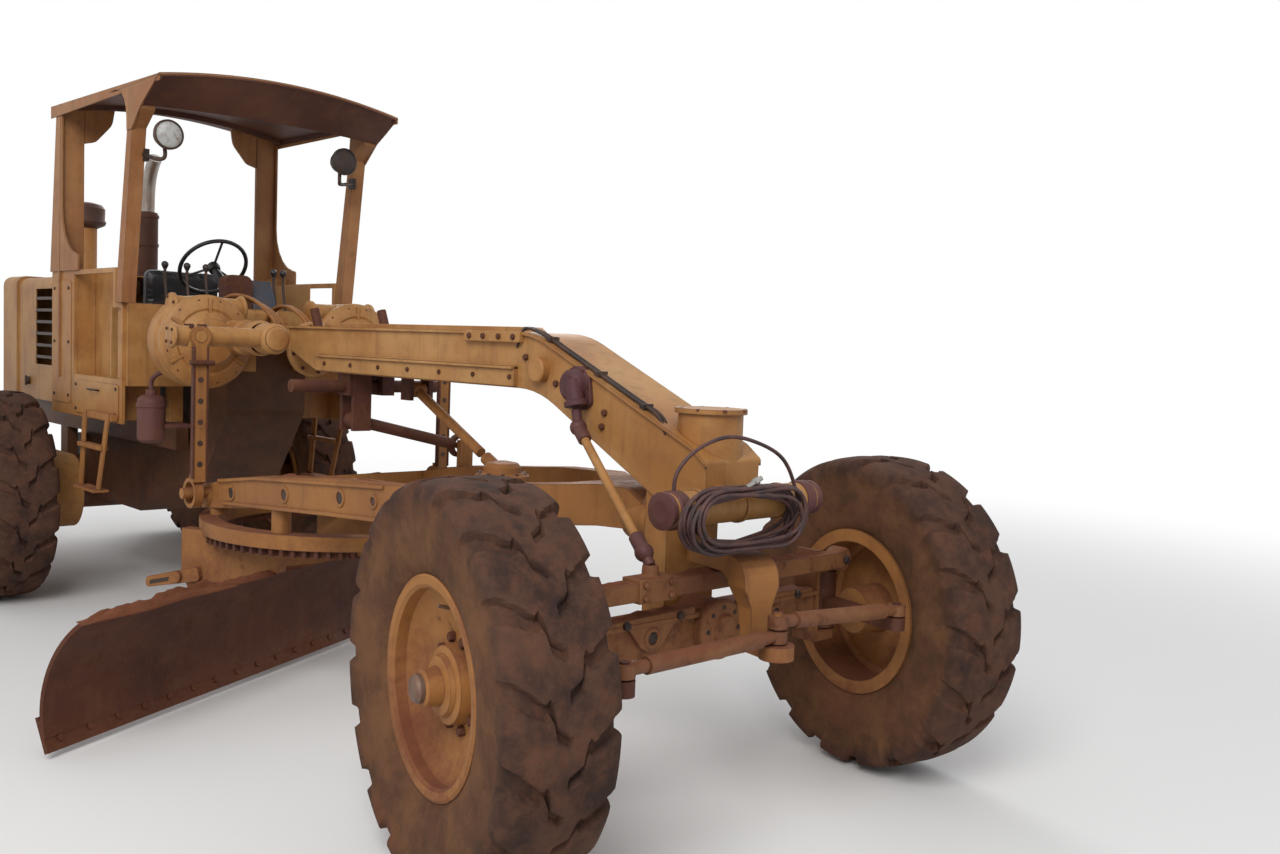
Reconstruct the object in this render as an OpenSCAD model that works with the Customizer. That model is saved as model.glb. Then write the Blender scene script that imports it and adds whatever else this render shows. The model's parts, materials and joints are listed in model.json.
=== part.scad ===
// Motor grader with open canopy, mechanical blade lift and a hose hank on its nose.
// Millimetres. +X is forward, +Y is the machine's left, +Z is up, ground at Z = 0.

/* [Chassis] */
// Centre of the front axle, ahead of the origin
front_axle_x = 3290; // [3200:10:3350]
// Distance from the front axle to the tandem pivot
wheelbase = 5900; // [5700:10:6000]
// Distance between the two wheels of a tandem
tandem_spacing = 1520; // [1480:10:1600]
// Distance between the wheel planes of the front wheels
front_track = 2026; // [1980:2:2100]
// Distance between the wheel planes of the rear wheels
rear_track = 2006; // [1980:2:2100]
// Half width of the main frame's box beam
beam_half_w = 140; // [120:5:160]
// Height of the main frame's top face
beam_top_z = 1765; // [1740:5:1800]
// Depth of the main frame's box beam
beam_depth = 235; // [210:5:260]

/* [Wheels] */
// Outer diameter of a tyre, lugs included
tyre_od = 1300; // [1260:10:1320]
// Width of a tyre
tyre_w = 350; // [320:10:370]
// Diameter of the rim's flange
rim_flange_d = 688; // [660:4:700]
// Steering angle at rest, clockwise seen from above is negative
steer_rest = -11; // [-15:1:0]
// Distance of the kingpin inboard of its wheel's plane
kingpin_inset = 303; // [290:1:320]
// Length of every steering arm
steer_arm_l = 420; // [400:5:440]

/* [Blade] */
// Length of the moldboard
blade_l = 3660; // [3600:10:3700]
// Straight height of the moldboard and its edge, along its chord
blade_chord = 571; // [550:1:600]
// Depth of the moldboard's curve
blade_sagitta = 95; // [80:1:110]
// Thickness of the moldboard
blade_t = 18; // [14:1:24]
// Forward lean of the blade's chord
blade_lean = 17; // [12:1:20]
// Angle of the blade from square across the machine
blade_angle = 26.4; // [20:0.2:30]
// Gap between the cutting edge and the ground
blade_gap = 22; // [15:1:40]
// Radius of the circle
circle_r = 760; // [720:10:780]
// Width of the circle's ring
circle_w = 90; // [80:5:110]
// Centre of the circle
circle_x = 760; // [730:10:790]
// Height of the circle's top face
circle_top_z = 790; // [780:5:800]

/* [Cab] */
// Half width of the canopy
canopy_half_w = 720; // [700:5:740]
// Height of the canopy's top
canopy_top_z = 3070; // [3040:5:3100]
// Front edge of the canopy
canopy_front_x = -80; // [-120:5:-60]
// Length of the canopy
canopy_l = 1650; // [1600:10:1700]
// Height of the operator's floor
floor_z = 1420; // [1400:5:1440]

/* [Engine] */
// Rear end of the hood
hood_rear_x = -3560; // [-3600:10:-3520]
// Half width of the hood
hood_half_w = 400; // [380:5:420]
// Height of the hood's top
hood_top_z = 2070; // [2040:5:2100]
// Thickness of sheet metal
sheet_t = 8; // [6:1:10]

/* [Hidden] */
$fn = 48;
clear = 0.3;
run_gap = 5;
yellow = "goldenrod";
rust = "saddlebrown";
steel = "dimgray";
rubber = "#3a332f";
dark = "#2b2422";

wheel_z = tyre_od / 2;
tandem_x = front_axle_x - wheelbase;
kingpin_y = front_track / 2 - kingpin_inset;
SIDES = [-1, 1];
AXLES = [1, -1];

// Unit vector along v
function unit(v) = v / norm(v);
// Points that round the corner p between its neighbours a and b with radius r
function corner(p, a, b, r, n) = r <= 0 ? [p] : let (
    u = unit(a - p), w = unit(b - p), half = acos(u * w) / 2,
    c = p + unit(u + w) * r / sin(half),
    s = p + u * r / tan(half), e = p + w * r / tan(half),
    a0 = atan2(s.y - c.y, s.x - c.x), a1 = atan2(e.y - c.y, e.x - c.x),
    d = (a1 - a0 + 540) % 360 - 180
) [for (i = [0:n]) c + r * [cos(a0 + d * i / n), sin(a0 + d * i / n)]];
// Outline through points [x, y, corner radius]
function rounded(pts, n = 5) = let (k = len(pts)) [
    for (i = [0:k - 1]) each corner(
        [pts[i].x, pts[i].y],
        [pts[(i + k - 1) % k].x, pts[(i + k - 1) % k].y],
        [pts[(i + 1) % k].x, pts[(i + 1) % k].y],
        pts[i].z, n)
];

// Upright slab: a side outline in X and Z, between the heights y0 and y1 across the machine
module side_slab(y0, y1) {
    translate([0, y1, 0]) rotate([90, 0, 0]) linear_extrude(y1 - y0) children();
}
// Round bar from a to b
module bar(a, b, r) {
    v = b - a;
    translate(a) rotate([0, acos(v.z / norm(v)), atan2(v.y, v.x)]) cylinder(r = r, h = norm(v));
}
// Cylinder along X from x0 to x1
module along_x(x0, x1, y, z, r) {
    translate([x0, y, z]) rotate([0, 90, 0]) cylinder(r = r, h = x1 - x0);
}
// Cylinder along Y from y0 to y1
module along_y(y0, y1, x, z, r) {
    translate([x, y1, z]) rotate([90, 0, 0]) cylinder(r = r, h = y1 - y0);
}
// Box from corner a to corner b
module block(a, b) {
    translate(a) cube(b - a);
}

// Front axle and steering

axle_z = 705;
axle_boss_r = 105;
axle_boss_l = 150;
axle_pin_r = 50;
axle_beam_t = 90;
bracket_in = 90;
bracket_t = 25;
ear_r = 55;
ear_t = 40;
knuckle_z0 = 605;
knuckle_z1 = 835;
kingpin_r = 28;
bolster_x0 = front_axle_x - 200;
bolster_x1 = front_axle_x - 85;
nose_x = front_axle_x + 110;
nose_bottom_z = 1133;
nose_top_z = 1330;
drum_r = 120;
drum_top_z = 1500;
steer_hub_z0 = 945;
steer_hub_h = 65;
steer_shaft_r = 35;
tie_z = 705;
tie_r = 28;
tie_end_r = 35;
stud_r = 16;
lean_bar_x0 = front_axle_x + 70;
lean_bar_t = 60;
lean_bar_z0 = knuckle_z1 + 35;
lean_bar_h = 62;

// Upper outline of the gooseneck and, behind it, the straight beam, as [x, z, corner radius]
beam_bottom_z = beam_top_z - beam_depth;
beam_rear_x = -250;
FRAME_OUTLINE = [
    [beam_rear_x, beam_top_z, 0],
    [front_axle_x - 880, beam_top_z, 500],
    [front_axle_x + 40, nose_top_z + 45, 60],
    [nose_x, nose_top_z - 5, 20],
    [nose_x, nose_bottom_z, 10],
    [front_axle_x - 72, nose_bottom_z, 0],
    [front_axle_x - 850, beam_bottom_z, 500],
    [600, beam_bottom_z, 300],
    [290, beam_bottom_z + 110, 300],
    [beam_rear_x, beam_bottom_z + 110, 0]
];
cap_plate_t = 14;
cap_plate_over = 12;

module main_frame() {
    color(yellow) {
        side_slab(-beam_half_w, beam_half_w) polygon(rounded(FRAME_OUTLINE));
        // Cover plate that stands proud of the beam's sides
        side_slab(-beam_half_w - cap_plate_over, beam_half_w + cap_plate_over) intersection() {
            polygon(rounded(FRAME_OUTLINE));
            difference() {
                translate([beam_rear_x, 0]) square([3800, 3000]);
                translate([0, -cap_plate_t]) polygon(rounded(FRAME_OUTLINE));
                translate([beam_rear_x - 1, 0]) square([4000, nose_top_z - 60]);
            }
        }
        // Drum over the steering shaft, with its cap
        translate([front_axle_x - 10, 0, nose_top_z - 60]) cylinder(r = drum_r, h = drum_top_z - nose_top_z + 60);
        translate([front_axle_x - 10, 0, drum_top_z - 12]) cylinder(r = drum_r + 14, h = 18);
        // Bolster that carries the axle's pivot pin
        block([bolster_x0, -130, axle_z - 90], [bolster_x1, 130, nose_bottom_z + 60]);
        along_x(bolster_x1 - 1, front_axle_x + axle_boss_l / 2 + 10, 0, axle_z, axle_pin_r);
        // Steering shaft below the nose
        translate([front_axle_x, 0, steer_hub_z0 - 12]) cylinder(r = steer_shaft_r, h = nose_bottom_z + 20 - steer_hub_z0 + 12);
        // Ball on which the drawbar swings, on its shank behind the bolster
        translate([ball_x, 0, ball_z]) sphere(r = ball_r);
        along_x(ball_x, bolster_x0 + 1, 0, ball_z, 32);
    }
}

module axle_bracket(side) {
    y_in = side * (kingpin_y - bracket_in);
    y_pin = side * kingpin_y;
    // Plate inboard of the knuckle, with an ear above and below
    block([front_axle_x - ear_r, min(y_in, y_in - side * bracket_t), knuckle_z0 - ear_t - run_gap],
          [front_axle_x + ear_r, max(y_in, y_in - side * bracket_t), lean_bar_z0 + lean_bar_h]);
    for (z = [knuckle_z0 - ear_t - run_gap, knuckle_z1 + run_gap]) {
        block([front_axle_x - ear_r, min(y_in, y_pin), z], [front_axle_x + ear_r, max(y_in, y_pin), z + ear_t]);
        translate([front_axle_x, y_pin, z]) cylinder(r = ear_r, h = ear_t);
    }
    // Kingpin
    translate([front_axle_x, y_pin, knuckle_z0 - ear_t - run_gap]) cylinder(r = kingpin_r, h = knuckle_z1 - knuckle_z0 + 2 * (ear_t + run_gap));
}

module front_axle() {
    color(rust) difference() {
        union() {
            along_x(front_axle_x - axle_boss_l / 2, front_axle_x + axle_boss_l / 2, 0, axle_z, axle_boss_r);
            translate([front_axle_x - axle_beam_t / 2, 0, 0]) rotate([90, 0, 90]) linear_extrude(axle_beam_t)
                polygon([for (p = [[kingpin_y - bracket_in, 55], [250, 80], [-250, 80], [bracket_in - kingpin_y, 55],
                    [bracket_in - kingpin_y, -55], [-250, -70], [250, -70], [kingpin_y - bracket_in, -55]])
                    [p.x, axle_z + p.y]]);
            for (side = SIDES) axle_bracket(side);
        }
        along_x(front_axle_x - axle_boss_l / 2 - 1, front_axle_x + axle_boss_l / 2 + 1, 0, axle_z, axle_pin_r + clear);
    }
}

module lean_bar() {
    color(rust) {
        block([lean_bar_x0, bracket_in - kingpin_y - 60, lean_bar_z0], [lean_bar_x0 + lean_bar_t, kingpin_y - bracket_in + 60, lean_bar_z0 + lean_bar_h]);
        // Pins into the brackets
        for (side = SIDES)
            along_x(front_axle_x + ear_r, lean_bar_x0 + 1, side * (kingpin_y - bracket_in), lean_bar_z0 + lean_bar_h / 2, 20);
    }
}

// Turns what belongs to a front wheel by the steering angle at rest about its kingpin
module steered(side) {
    translate([front_axle_x, side * kingpin_y, 0]) rotate(steer_rest) children();
}

hub_y0 = 110;
module knuckle(side) {
    color(rust) steered(side) difference() {
        union() {
            translate([0, 0, knuckle_z0]) cylinder(r = ear_r, h = knuckle_z1 - knuckle_z0);
            // Spindle that carries the wheel
            along_y(min(0, side * (kingpin_inset + 60)), max(0, side * (kingpin_inset + 60)), 0, wheel_z, spindle_r);
            along_y(min(0, side * hub_y0), max(0, side * hub_y0), 0, wheel_z, spindle_r + 5);
            // Arm to the tie rod
            block([0, -35, tie_z - 25], [steer_arm_l, 35, tie_z + 25]);
            translate([steer_arm_l, 0, tie_z - 25]) cylinder(r = 35, h = 50);
            // Stud for the tie rod's eye
            translate([steer_arm_l, 0, tie_z + 20]) cylinder(r = stud_r, h = 60);
        }
        translate([0, 0, knuckle_z0 - 1]) cylinder(r = kingpin_r + clear, h = knuckle_z1 - knuckle_z0 + 2);
    }
}

arm_front_x = 300;
module steering_arm() {
    color(yellow) translate([front_axle_x, 0, 0]) rotate(steer_rest) difference() {
        union() {
            translate([0, 0, steer_hub_z0]) cylinder(r = 75, h = steer_hub_h);
            // Side outline of the curved arm, narrowed towards its foot
            intersection() {
                side_slab(-75, 75) polygon(rounded([
                    [20, steer_hub_z0, 0], [225, steer_hub_z0, 60], [steer_arm_l - 140, tie_z + 15, 60],
                    [steer_arm_l - 120, tie_z - 25, 0], [steer_arm_l, tie_z - 25, 0], [steer_arm_l, tie_z + 25, 0],
                    [steer_arm_l - 85, tie_z + 25, 10], [325, steer_hub_z0 + steer_hub_h, 90], [20, steer_hub_z0 + steer_hub_h, 0]]));
                rotate([90, 0, 90]) linear_extrude(steer_arm_l + 100) polygon(rounded([
                    [-45, tie_z - 26, 0], [45, tie_z - 26, 0], [45, tie_z + 130, 30], [75, tie_z + 200, 30],
                    [75, 1100, 0], [-75, 1100, 0], [-75, tie_z + 200, 30], [-45, tie_z + 130, 30]]));
            }
            translate([steer_arm_l, 0, tie_z - 25]) cylinder(r = 60, h = 50);
            translate([steer_arm_l, 0, tie_z + 20]) cylinder(r = stud_r, h = 114);
        }
        translate([0, 0, steer_hub_z0 - 1]) cylinder(r = steer_shaft_r + clear, h = steer_hub_h + 2);
    }
}

// Ends of a tie rod: the knuckle's stud and the centre arm's stud
function turned(v, a) = [v.x * cos(a) - v.y * sin(a), v.x * sin(a) + v.y * cos(a)];
function knuckle_stud(side) = [front_axle_x, side * kingpin_y] + turned([steer_arm_l, 0], steer_rest);
function centre_stud() = [front_axle_x, 0] + turned([steer_arm_l, 0], steer_rest);
tie_rod_z = tie_z + 52;
tie_eye_h = 42;

module tie_rod(side) {
    a = knuckle_stud(side);
    b = centre_stud();
    // The left rod's eye sits above the right one on the shared stud
    bz = tie_rod_z + (side > 0 ? tie_eye_h + 8 : 0);
    ends = [[a.x, a.y, tie_rod_z], [b.x, b.y, bz]];
    v = unit(ends[1] - ends[0]);
    color(rust) difference() {
        union() {
            bar(ends[0] + v * 28, ends[1] - v * 28, tie_r - 7);
            bar(ends[0] + v * 90, ends[1] - v * 90, tie_r);
            for (p = ends) translate([p.x, p.y, p.z - tie_eye_h / 2]) cylinder(r = tie_end_r, h = tie_eye_h);
        }
        for (p = ends) translate([p.x, p.y, p.z - 60]) cylinder(r = stud_r + clear, h = 120);
    }
}

// Wheels

rim_w = 260;
bead_r = rim_flange_d / 2 - 25;
disc_y = 60;
spindle_r = 38;
hub_bore_r = spindle_r + clear;

// Section of the tyre as [radius, across] with rounded shoulders and open bead
module tyre_section() {
    shoulder = 60;
    polygon(rounded([
        [bead_r + 1, -rim_w / 2 + 20, 0], [bead_r + 45, -rim_w / 2 + 5, 20], [bead_r + 150, -tyre_w / 2, 120],
        [wheel_z - 30, -tyre_w / 2 + 12, shoulder], [wheel_z, -tyre_w / 4, 0],
        [wheel_z, tyre_w / 4, 0], [wheel_z - 30, tyre_w / 2 - 12, shoulder],
        [bead_r + 150, tyre_w / 2, 120], [bead_r + 45, rim_w / 2 - 5, 20], [bead_r + 1, rim_w / 2 - 20, 0]], 4));
}
// The tyre stands on the wheel's own axis, along Y
module tyre_ring() {
    color(rubber) rotate([-90, 0, 0]) rotate_extrude($fn = 96) tyre_section();
}
// Rim, disc and hub; side tells which way the hub points
module rim_disc(side) {
    color(yellow) rotate([-90 * side, 0, 0]) difference() {
        union() {
            rotate_extrude($fn = 72) polygon([
                [bead_r + 25, -rim_w / 2 - 12], [bead_r + 25, -rim_w / 2 + 2], [bead_r, -rim_w / 2 + 12],
                [bead_r, rim_w / 2 - 12], [bead_r + 25, rim_w / 2 - 2], [bead_r + 25, rim_w / 2 + 12],
                [bead_r - 12, rim_w / 2 + 12], [bead_r - 12, disc_y + 30], [bead_r - 70, disc_y + 14],
                [150, disc_y - 10], [110, disc_y + 50], [70, disc_y + 60], [70, disc_y + 110], [0, disc_y + 110],
                [0, disc_y + 95], [hub_bore_r, disc_y + 95],
                [hub_bore_r, -130], [95, -130], [105, disc_y - 30], [bead_r - 75, disc_y], [bead_r - 14, disc_y + 14],
                [bead_r - 14, -rim_w / 2 - 12]]);
        }
    }
}

module front_wheel_place(side) {
    steered(side) translate([0, side * kingpin_inset, wheel_z]) children();
}
module rear_wheel_place(side, axle) {
    translate([tandem_x + axle * tandem_spacing / 2, side * rear_track / 2, wheel_z]) children();
}

module tyre_front_right() { front_wheel_place(-1) tyre_ring(); }
module tyre_front_left() { front_wheel_place(1) tyre_ring(); }
module tyre_middle_right() { rear_wheel_place(-1, 1) tyre_ring(); }
module tyre_middle_left() { rear_wheel_place(1, 1) tyre_ring(); }
module tyre_rear_right() { rear_wheel_place(-1, -1) tyre_ring(); }
module tyre_rear_left() { rear_wheel_place(1, -1) tyre_ring(); }
module rim_front_right() { front_wheel_place(-1) rim_disc(-1); }
module rim_front_left() { front_wheel_place(1) rim_disc(1); }
module rim_middle_right() { rear_wheel_place(-1, 1) rim_disc(-1); }
module rim_middle_left() { rear_wheel_place(1, 1) rim_disc(1); }
module rim_rear_right() { rear_wheel_place(-1, -1) rim_disc(-1); }
module rim_rear_left() { rear_wheel_place(1, -1) rim_disc(1); }
module knuckle_right() { knuckle(-1); }
module knuckle_left() { knuckle(1); }
module tie_rod_right() { tie_rod(-1); }
module tie_rod_left() { tie_rod(1); }

// Tandem drive

case_in = 560;
case_out = 790;
case_r = 235;
axle_tube_r = 150;
drive_half_w = 270;

module tandem_cases() {
    color(yellow) for (side = SIDES) {
        side_slab(min(side * case_in, side * case_out), max(side * case_in, side * case_out)) case_outline();
        for (axle = AXLES)
            rear_wheel_place(side, axle)
                along_y(min(side * (case_out - rear_track / 2 - 5), side * 60), max(side * (case_out - rear_track / 2 - 5), side * 60), 0, 0, spindle_r);
    }
}
// Outline of a tandem case: a long box with round ends
module case_outline() {
    half = tandem_spacing / 2;
    translate([tandem_x, wheel_z]) polygon(rounded([
        [-half - case_r, -case_r, case_r - 5], [-half - case_r, case_r, case_r - 5],
        [half + case_r, case_r, case_r - 5], [half + case_r, -case_r, case_r - 5]], 8));
}

gearbox_x1 = -250;
gearbox_x0 = -1500;
module drive_case() {
    color(yellow) {
        // Final drive and the axle tubes out to the tandems
        along_y(-drive_half_w, drive_half_w, tandem_x, wheel_z + 40, 270);
        for (side = SIDES)
            along_y(min(side * (drive_half_w - 1), side * case_in), max(side * (drive_half_w - 1), side * case_in), tandem_x, wheel_z, axle_tube_r);
        // Seats under the rails
        for (side = SIDES)
            block([tandem_x - 70, min(side * rail_y0, side * rail_y1), wheel_z + 100], [tandem_x + 70, max(side * rail_y0, side * rail_y1), rail_z0]);
        block([-1200, -rail_y0, rail_z0 + 20], [-850, rail_y0, rail_z1 - 20]);
        // Transmission ahead of it, stepped up to the main frame
        side_slab(-drive_half_w + 30, drive_half_w - 30) polygon(rounded([
            [tandem_x, wheel_z - 120, 0], [gearbox_x0, wheel_z - 120, 80], [gearbox_x0 + 250, 720, 80], [gearbox_x1 - 350, 800, 120],
            [gearbox_x1, 1250, 80], [gearbox_x1, beam_top_z, 20], [gearbox_x1 - 290, beam_top_z, 40],
            [gearbox_x1 - 300, floor_z - 30, 0], [gearbox_x0 - 300, floor_z - 30, 60], [gearbox_x0 - 420, 1000, 80], [tandem_x, 1000, 0]]));
    }
}

// Rear frame, engine and hood

rail_y0 = 300;
rail_y1 = 370;
rail_z0 = 1010;
rail_z1 = 1170;
guard_rear_x = -3900;
rail_front_x = -640;
hitch_x = -3950;
hitch_r = 22;

module rear_frame() {
    color(yellow) difference() {
        union() {
            for (side = SIDES)
                block([guard_rear_x, min(side * rail_y0, side * rail_y1), rail_z0], [rail_front_x, max(side * rail_y0, side * rail_y1), rail_z1]);
            // Cross members
            for (x = [guard_rear_x, -3250, -2050]) block([x, -rail_y0 - 1, rail_z0 + 10], [x + 90, rail_y0 + 1, rail_z1 - 10]);
            // Hitch plates with the hitch pin's bore
            for (z = [rail_z0 + 10, rail_z0 + 100]) {
                translate([hitch_x, 0, z]) cylinder(r = 60, h = 30);
                block([hitch_x, -60, z], [guard_rear_x + 1, 60, z + 30]);
            }
        }
        translate([hitch_x, 0, rail_z0 - 10]) cylinder(r = hitch_r, h = 200);
    }
}

engine_x0 = -3150;
engine_x1 = -2050;
module engine_block() {
    color(steel) block([engine_x0, -rail_y0 + 20, rail_z0 + 60], [engine_x1, rail_y0 - 20, 1900]);
    color(steel) for (x = [engine_x0 + 100, engine_x1 - 200], side = SIDES)
        block([x, min(side * (rail_y0 - 30), side * (rail_y1 - 10)), rail_z1 + sheet_t], [x + 100, max(side * (rail_y0 - 30), side * (rail_y1 - 10)), rail_z1 + 60]);
}

hood_front_x = -1850;
hood_bottom_z = rail_z1;
module hood_outline(grow) {
    w = hood_half_w + grow;
    polygon(rounded([[-w, hood_bottom_z - 5, 0], [-w, hood_top_z + grow, 70], [w, hood_top_z + grow, 70], [w, hood_bottom_z - 5, 0]], 6));
}
module engine_hood() {
    // Flanges on the rails
    color(yellow) for (side = SIDES)
        block([hood_rear_x, min(side * rail_y0, side * (hood_half_w - 1)), rail_z1], [hood_front_x, max(side * rail_y0, side * (hood_half_w - 1)), rail_z1 + sheet_t]);
    color(yellow) difference() {
        translate([hood_rear_x, 0, 0]) rotate([90, 0, 90]) linear_extrude(hood_front_x - hood_rear_x) difference() {
            hood_outline(0);
            hood_outline(-sheet_t);
        }
        translate([hood_rear_x - 1, -1000, 0]) cube([3000, 2000, hood_bottom_z]);
        // Side openings
        block([-3150, -hood_half_w - 10, 1430], [-2710, hood_half_w + 10, 1980]);
        // Holes for the stacks
        translate([muffler_x, muffler_y, hood_top_z - 100]) cylinder(r = 50, h = 200);
        translate([cleaner_x, 0, hood_top_z - 100]) cylinder(r = 50, h = 200);
    }
}

module radiator_guard() {
    color(yellow) block([guard_rear_x, -hood_half_w - 15, rail_z1], [hood_rear_x - clear, hood_half_w + 15, rail_z1 + 20]);
    color(yellow) difference() {
        translate([guard_rear_x, 0, 0]) rotate([90, 0, 90]) linear_extrude(hood_rear_x - guard_rear_x - clear) difference() {
            hood_outline(15);
            hood_outline(-25);
        }
        translate([guard_rear_x - 1, -1000, 0]) cube([1000, 2000, hood_bottom_z]);
    }
    // Rear screen bars
    color(yellow) for (z = [hood_bottom_z + 60:75:hood_top_z - 60])
        block([guard_rear_x + 10, -hood_half_w, z], [guard_rear_x + 40, hood_half_w, z + 25]);
    // Core
    color(dark) block([guard_rear_x + 120, -hood_half_w + 40, hood_bottom_z + 10], [guard_rear_x + 240, hood_half_w - 40, hood_top_z - 24]);
}

muffler_x = -2610;
muffler_y = 200;
cleaner_x = -3310;
module exhaust() {
    color(rust) {
        translate([muffler_x, muffler_y, hood_top_z - 100]) cylinder(r = 38, h = 130);
        translate([muffler_x, muffler_y, hood_top_z + 20]) cylinder(r = 72, h = 480);
        translate([muffler_x, muffler_y, hood_top_z + 490]) cylinder(r = 38, h = 240);
        translate([muffler_x, muffler_y, hood_top_z]) cylinder(r = 70, h = 10);
        translate([muffler_x - 140, muffler_y, hood_top_z + 720]) rotate([90, 0, 0])
            rotate_extrude(angle = 80) translate([140, 0]) circle(r = 36);
    }
}
module air_cleaner() {
    color(yellow) {
        translate([cleaner_x, 0, hood_top_z - 100]) cylinder(r = 45, h = 130);
        translate([cleaner_x, 0, hood_top_z]) cylinder(r = 95, h = 10);
        translate([cleaner_x, 0, 0]) rotate_extrude() polygon(rounded([
            [0, hood_top_z + 20, 0], [78, hood_top_z + 20, 10], [78, hood_top_z + 420, 10], [130, hood_top_z + 440, 10],
            [130, hood_top_z + 500, 20], [60, hood_top_z + 570, 30], [0, hood_top_z + 580, 0]], 4));
    }
}

// Operator's station

cab_x0 = -1810;
cab_x1 = -560;
cab_half_w = 680;
box_x0 = -1490;
box_x1 = -760;
wall_t = 30;

module cab_floor() {
    color(yellow) {
        // Floor and its side boxes
        block([cab_x0, -cab_half_w, floor_z - 30], [cab_x1, cab_half_w, floor_z]);
        for (side = SIDES)
            block([box_x0, min(side * 420, side * cab_half_w), rail_z1 + 10], [box_x1, max(side * 420, side * cab_half_w), floor_z - 29]);
        // Feet on the rails
        for (x = [cab_x0, box_x1 - 60], side = SIDES)
            block([x, min(side * rail_y0, side * rail_y1), rail_z1], [x + 100, max(side * rail_y0, side * rail_y1), floor_z - 29]);
        // Rear corner panels
        for (side = SIDES)
            block([cab_x0, min(side * (cab_half_w - wall_t), side * cab_half_w), floor_z - 80],
                  [cab_x0 + 350, max(side * (cab_half_w - wall_t), side * cab_half_w), 2100]);
        // Cowl ahead of the operator
        block([cab_x1 - wall_t, -cab_half_w, floor_z - 1], [cab_x1, cab_half_w, 1860]);
        for (side = SIDES)
            block([cab_x1 - 160, min(side * (cab_half_w - wall_t), side * cab_half_w), floor_z - 1],
                  [cab_x1, max(side * (cab_half_w - wall_t), side * cab_half_w), 1860]);
    }
}

post_w = 90;
post_t = 50;
canopy_rear_x = canopy_front_x - canopy_l;
skirt_h = 180;
module canopy() {
    color(yellow) {
        difference() {
            side_slab(-canopy_half_w, canopy_half_w) polygon(rounded([
                [canopy_rear_x, canopy_top_z - skirt_h, 0], [canopy_rear_x, canopy_top_z, 60],
                [canopy_front_x - 60, canopy_top_z, 150], [canopy_front_x, canopy_top_z - skirt_h, 0]]));
            side_slab(-canopy_half_w + sheet_t, canopy_half_w - sheet_t) polygon(rounded([
                [canopy_rear_x + sheet_t, canopy_top_z - skirt_h - 1, 0], [canopy_rear_x + sheet_t, canopy_top_z - sheet_t, 55],
                [canopy_front_x - 60 - sheet_t, canopy_top_z - sheet_t, 145], [canopy_front_x - sheet_t, canopy_top_z - skirt_h - 1, 0]]));
        }
        for (side = SIDES) {
            // Front post, leaning forward to the canopy's front
            side_slab(min(side * (cab_half_w - wall_t - post_t), side * (cab_half_w - wall_t)), max(side * (cab_half_w - wall_t - post_t), side * (cab_half_w - wall_t)))
                polygon([[cab_x1 - post_w, 1860], [cab_x1, 1860], [canopy_front_x - 30, canopy_top_z - 70], [canopy_front_x - 130, canopy_top_z - sheet_t + 1]]);
            // Rear post, wider at its foot
            side_slab(min(side * (cab_half_w - wall_t - post_t), side * (cab_half_w - wall_t)), max(side * (cab_half_w - wall_t - post_t), side * (cab_half_w - wall_t)))
                polygon(rounded([[cab_x0, floor_z, 0], [cab_x0 + 330, floor_z, 0], [cab_x0 + 330, 2080, 0], [cab_x0 + 200, 2200, 150],
                    [cab_x0 + 170, canopy_top_z - 40, 0], [cab_x0 + 60, canopy_top_z - 40, 0]]));
        }
    }
}

module seat() {
    color(dark) {
        block([-1430, -160, floor_z], [-1150, 160, 1650]);
        side_slab(-250, 250) polygon(rounded([[-1500, 1649, 0], [-1500, 1760, 30], [-1060, 1750, 40], [-1050, 1649, 20]]));
        side_slab(-270, 270) polygon(rounded([[-1560, 1640, 0], [-1590, 2130, 30], [-1500, 2130, 30], [-1470, 1640, 0]]));
    }
}

wheel_at = [-1010, 0, 2120];
column_foot = [-650, 0, floor_z];
module steering_column() {
    v = wheel_at - column_foot;
    color(dark) {
        difference() {
            bar(column_foot - unit(v) * 40, wheel_at, 26);
            block([-900, -100, floor_z - 200], [-500, 100, floor_z]);
        }
        translate(wheel_at) rotate([0, atan2(v.x, v.z), 0]) {
            rotate_extrude($fn = 64) translate([205, 0]) circle(r = 13, $fn = 16);
            for (a = [90, 210, 330]) rotate([0, 90, a]) cylinder(r = 8, h = 205, $fn = 16);
            translate([0, 0, -25]) cylinder(r = 38, h = 50);
        }
    }
}

module control_levers() {
    color(rust) {
        block([-800, -460, floor_z], [-600, -90, 1900]);
        block([-800, 90, floor_z], [-600, 460, 1900]);
    }
    color(dark) for (y = [-420:55:-140], side = SIDES) {
        bar([-740, y * side, 1890], [-800, y * side, 2090], 9);
        translate([-800, y * side, 2095]) sphere(r = 22, $fn = 24);
    }
}

lift_x = 440;
lift_hub_y = 320;
lift_z = 1690;
lift_arm = 400;
lift_shaft_r = 42;
module lift_cases() {
    color(yellow) for (side = SIDES) {
        // Round worm case with a domed front
        translate([gearbox_x1, side * 450, 1660]) rotate([0, 90, 0]) rotate_extrude() polygon(rounded([
            [0, 0, 0], [250, 0, 20], [250, 130, 60], [120, 210, 40], [0, 215, 0]], 4));
        // Housing of the lift shaft, forward to the crank
        along_x(-60, lift_x - 100, side * lift_hub_y, lift_z, 80);
        // Seat against the transmission
        block([gearbox_x1, min(side * 160, side * 260), 1500], [-60, max(side * 160, side * 260), 1745]);
        // Saddle on the main frame
        block([180, min(side * beam_half_w, side * 260), lift_z - 60], [300, max(side * beam_half_w, side * 260), beam_top_z - cap_plate_t]);
    }
    // Shaft ends that carry the cranks
    color(steel) for (side = SIDES) along_x(lift_x - 101, lift_x + 60, side * lift_hub_y, lift_z, lift_shaft_r);
}

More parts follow.
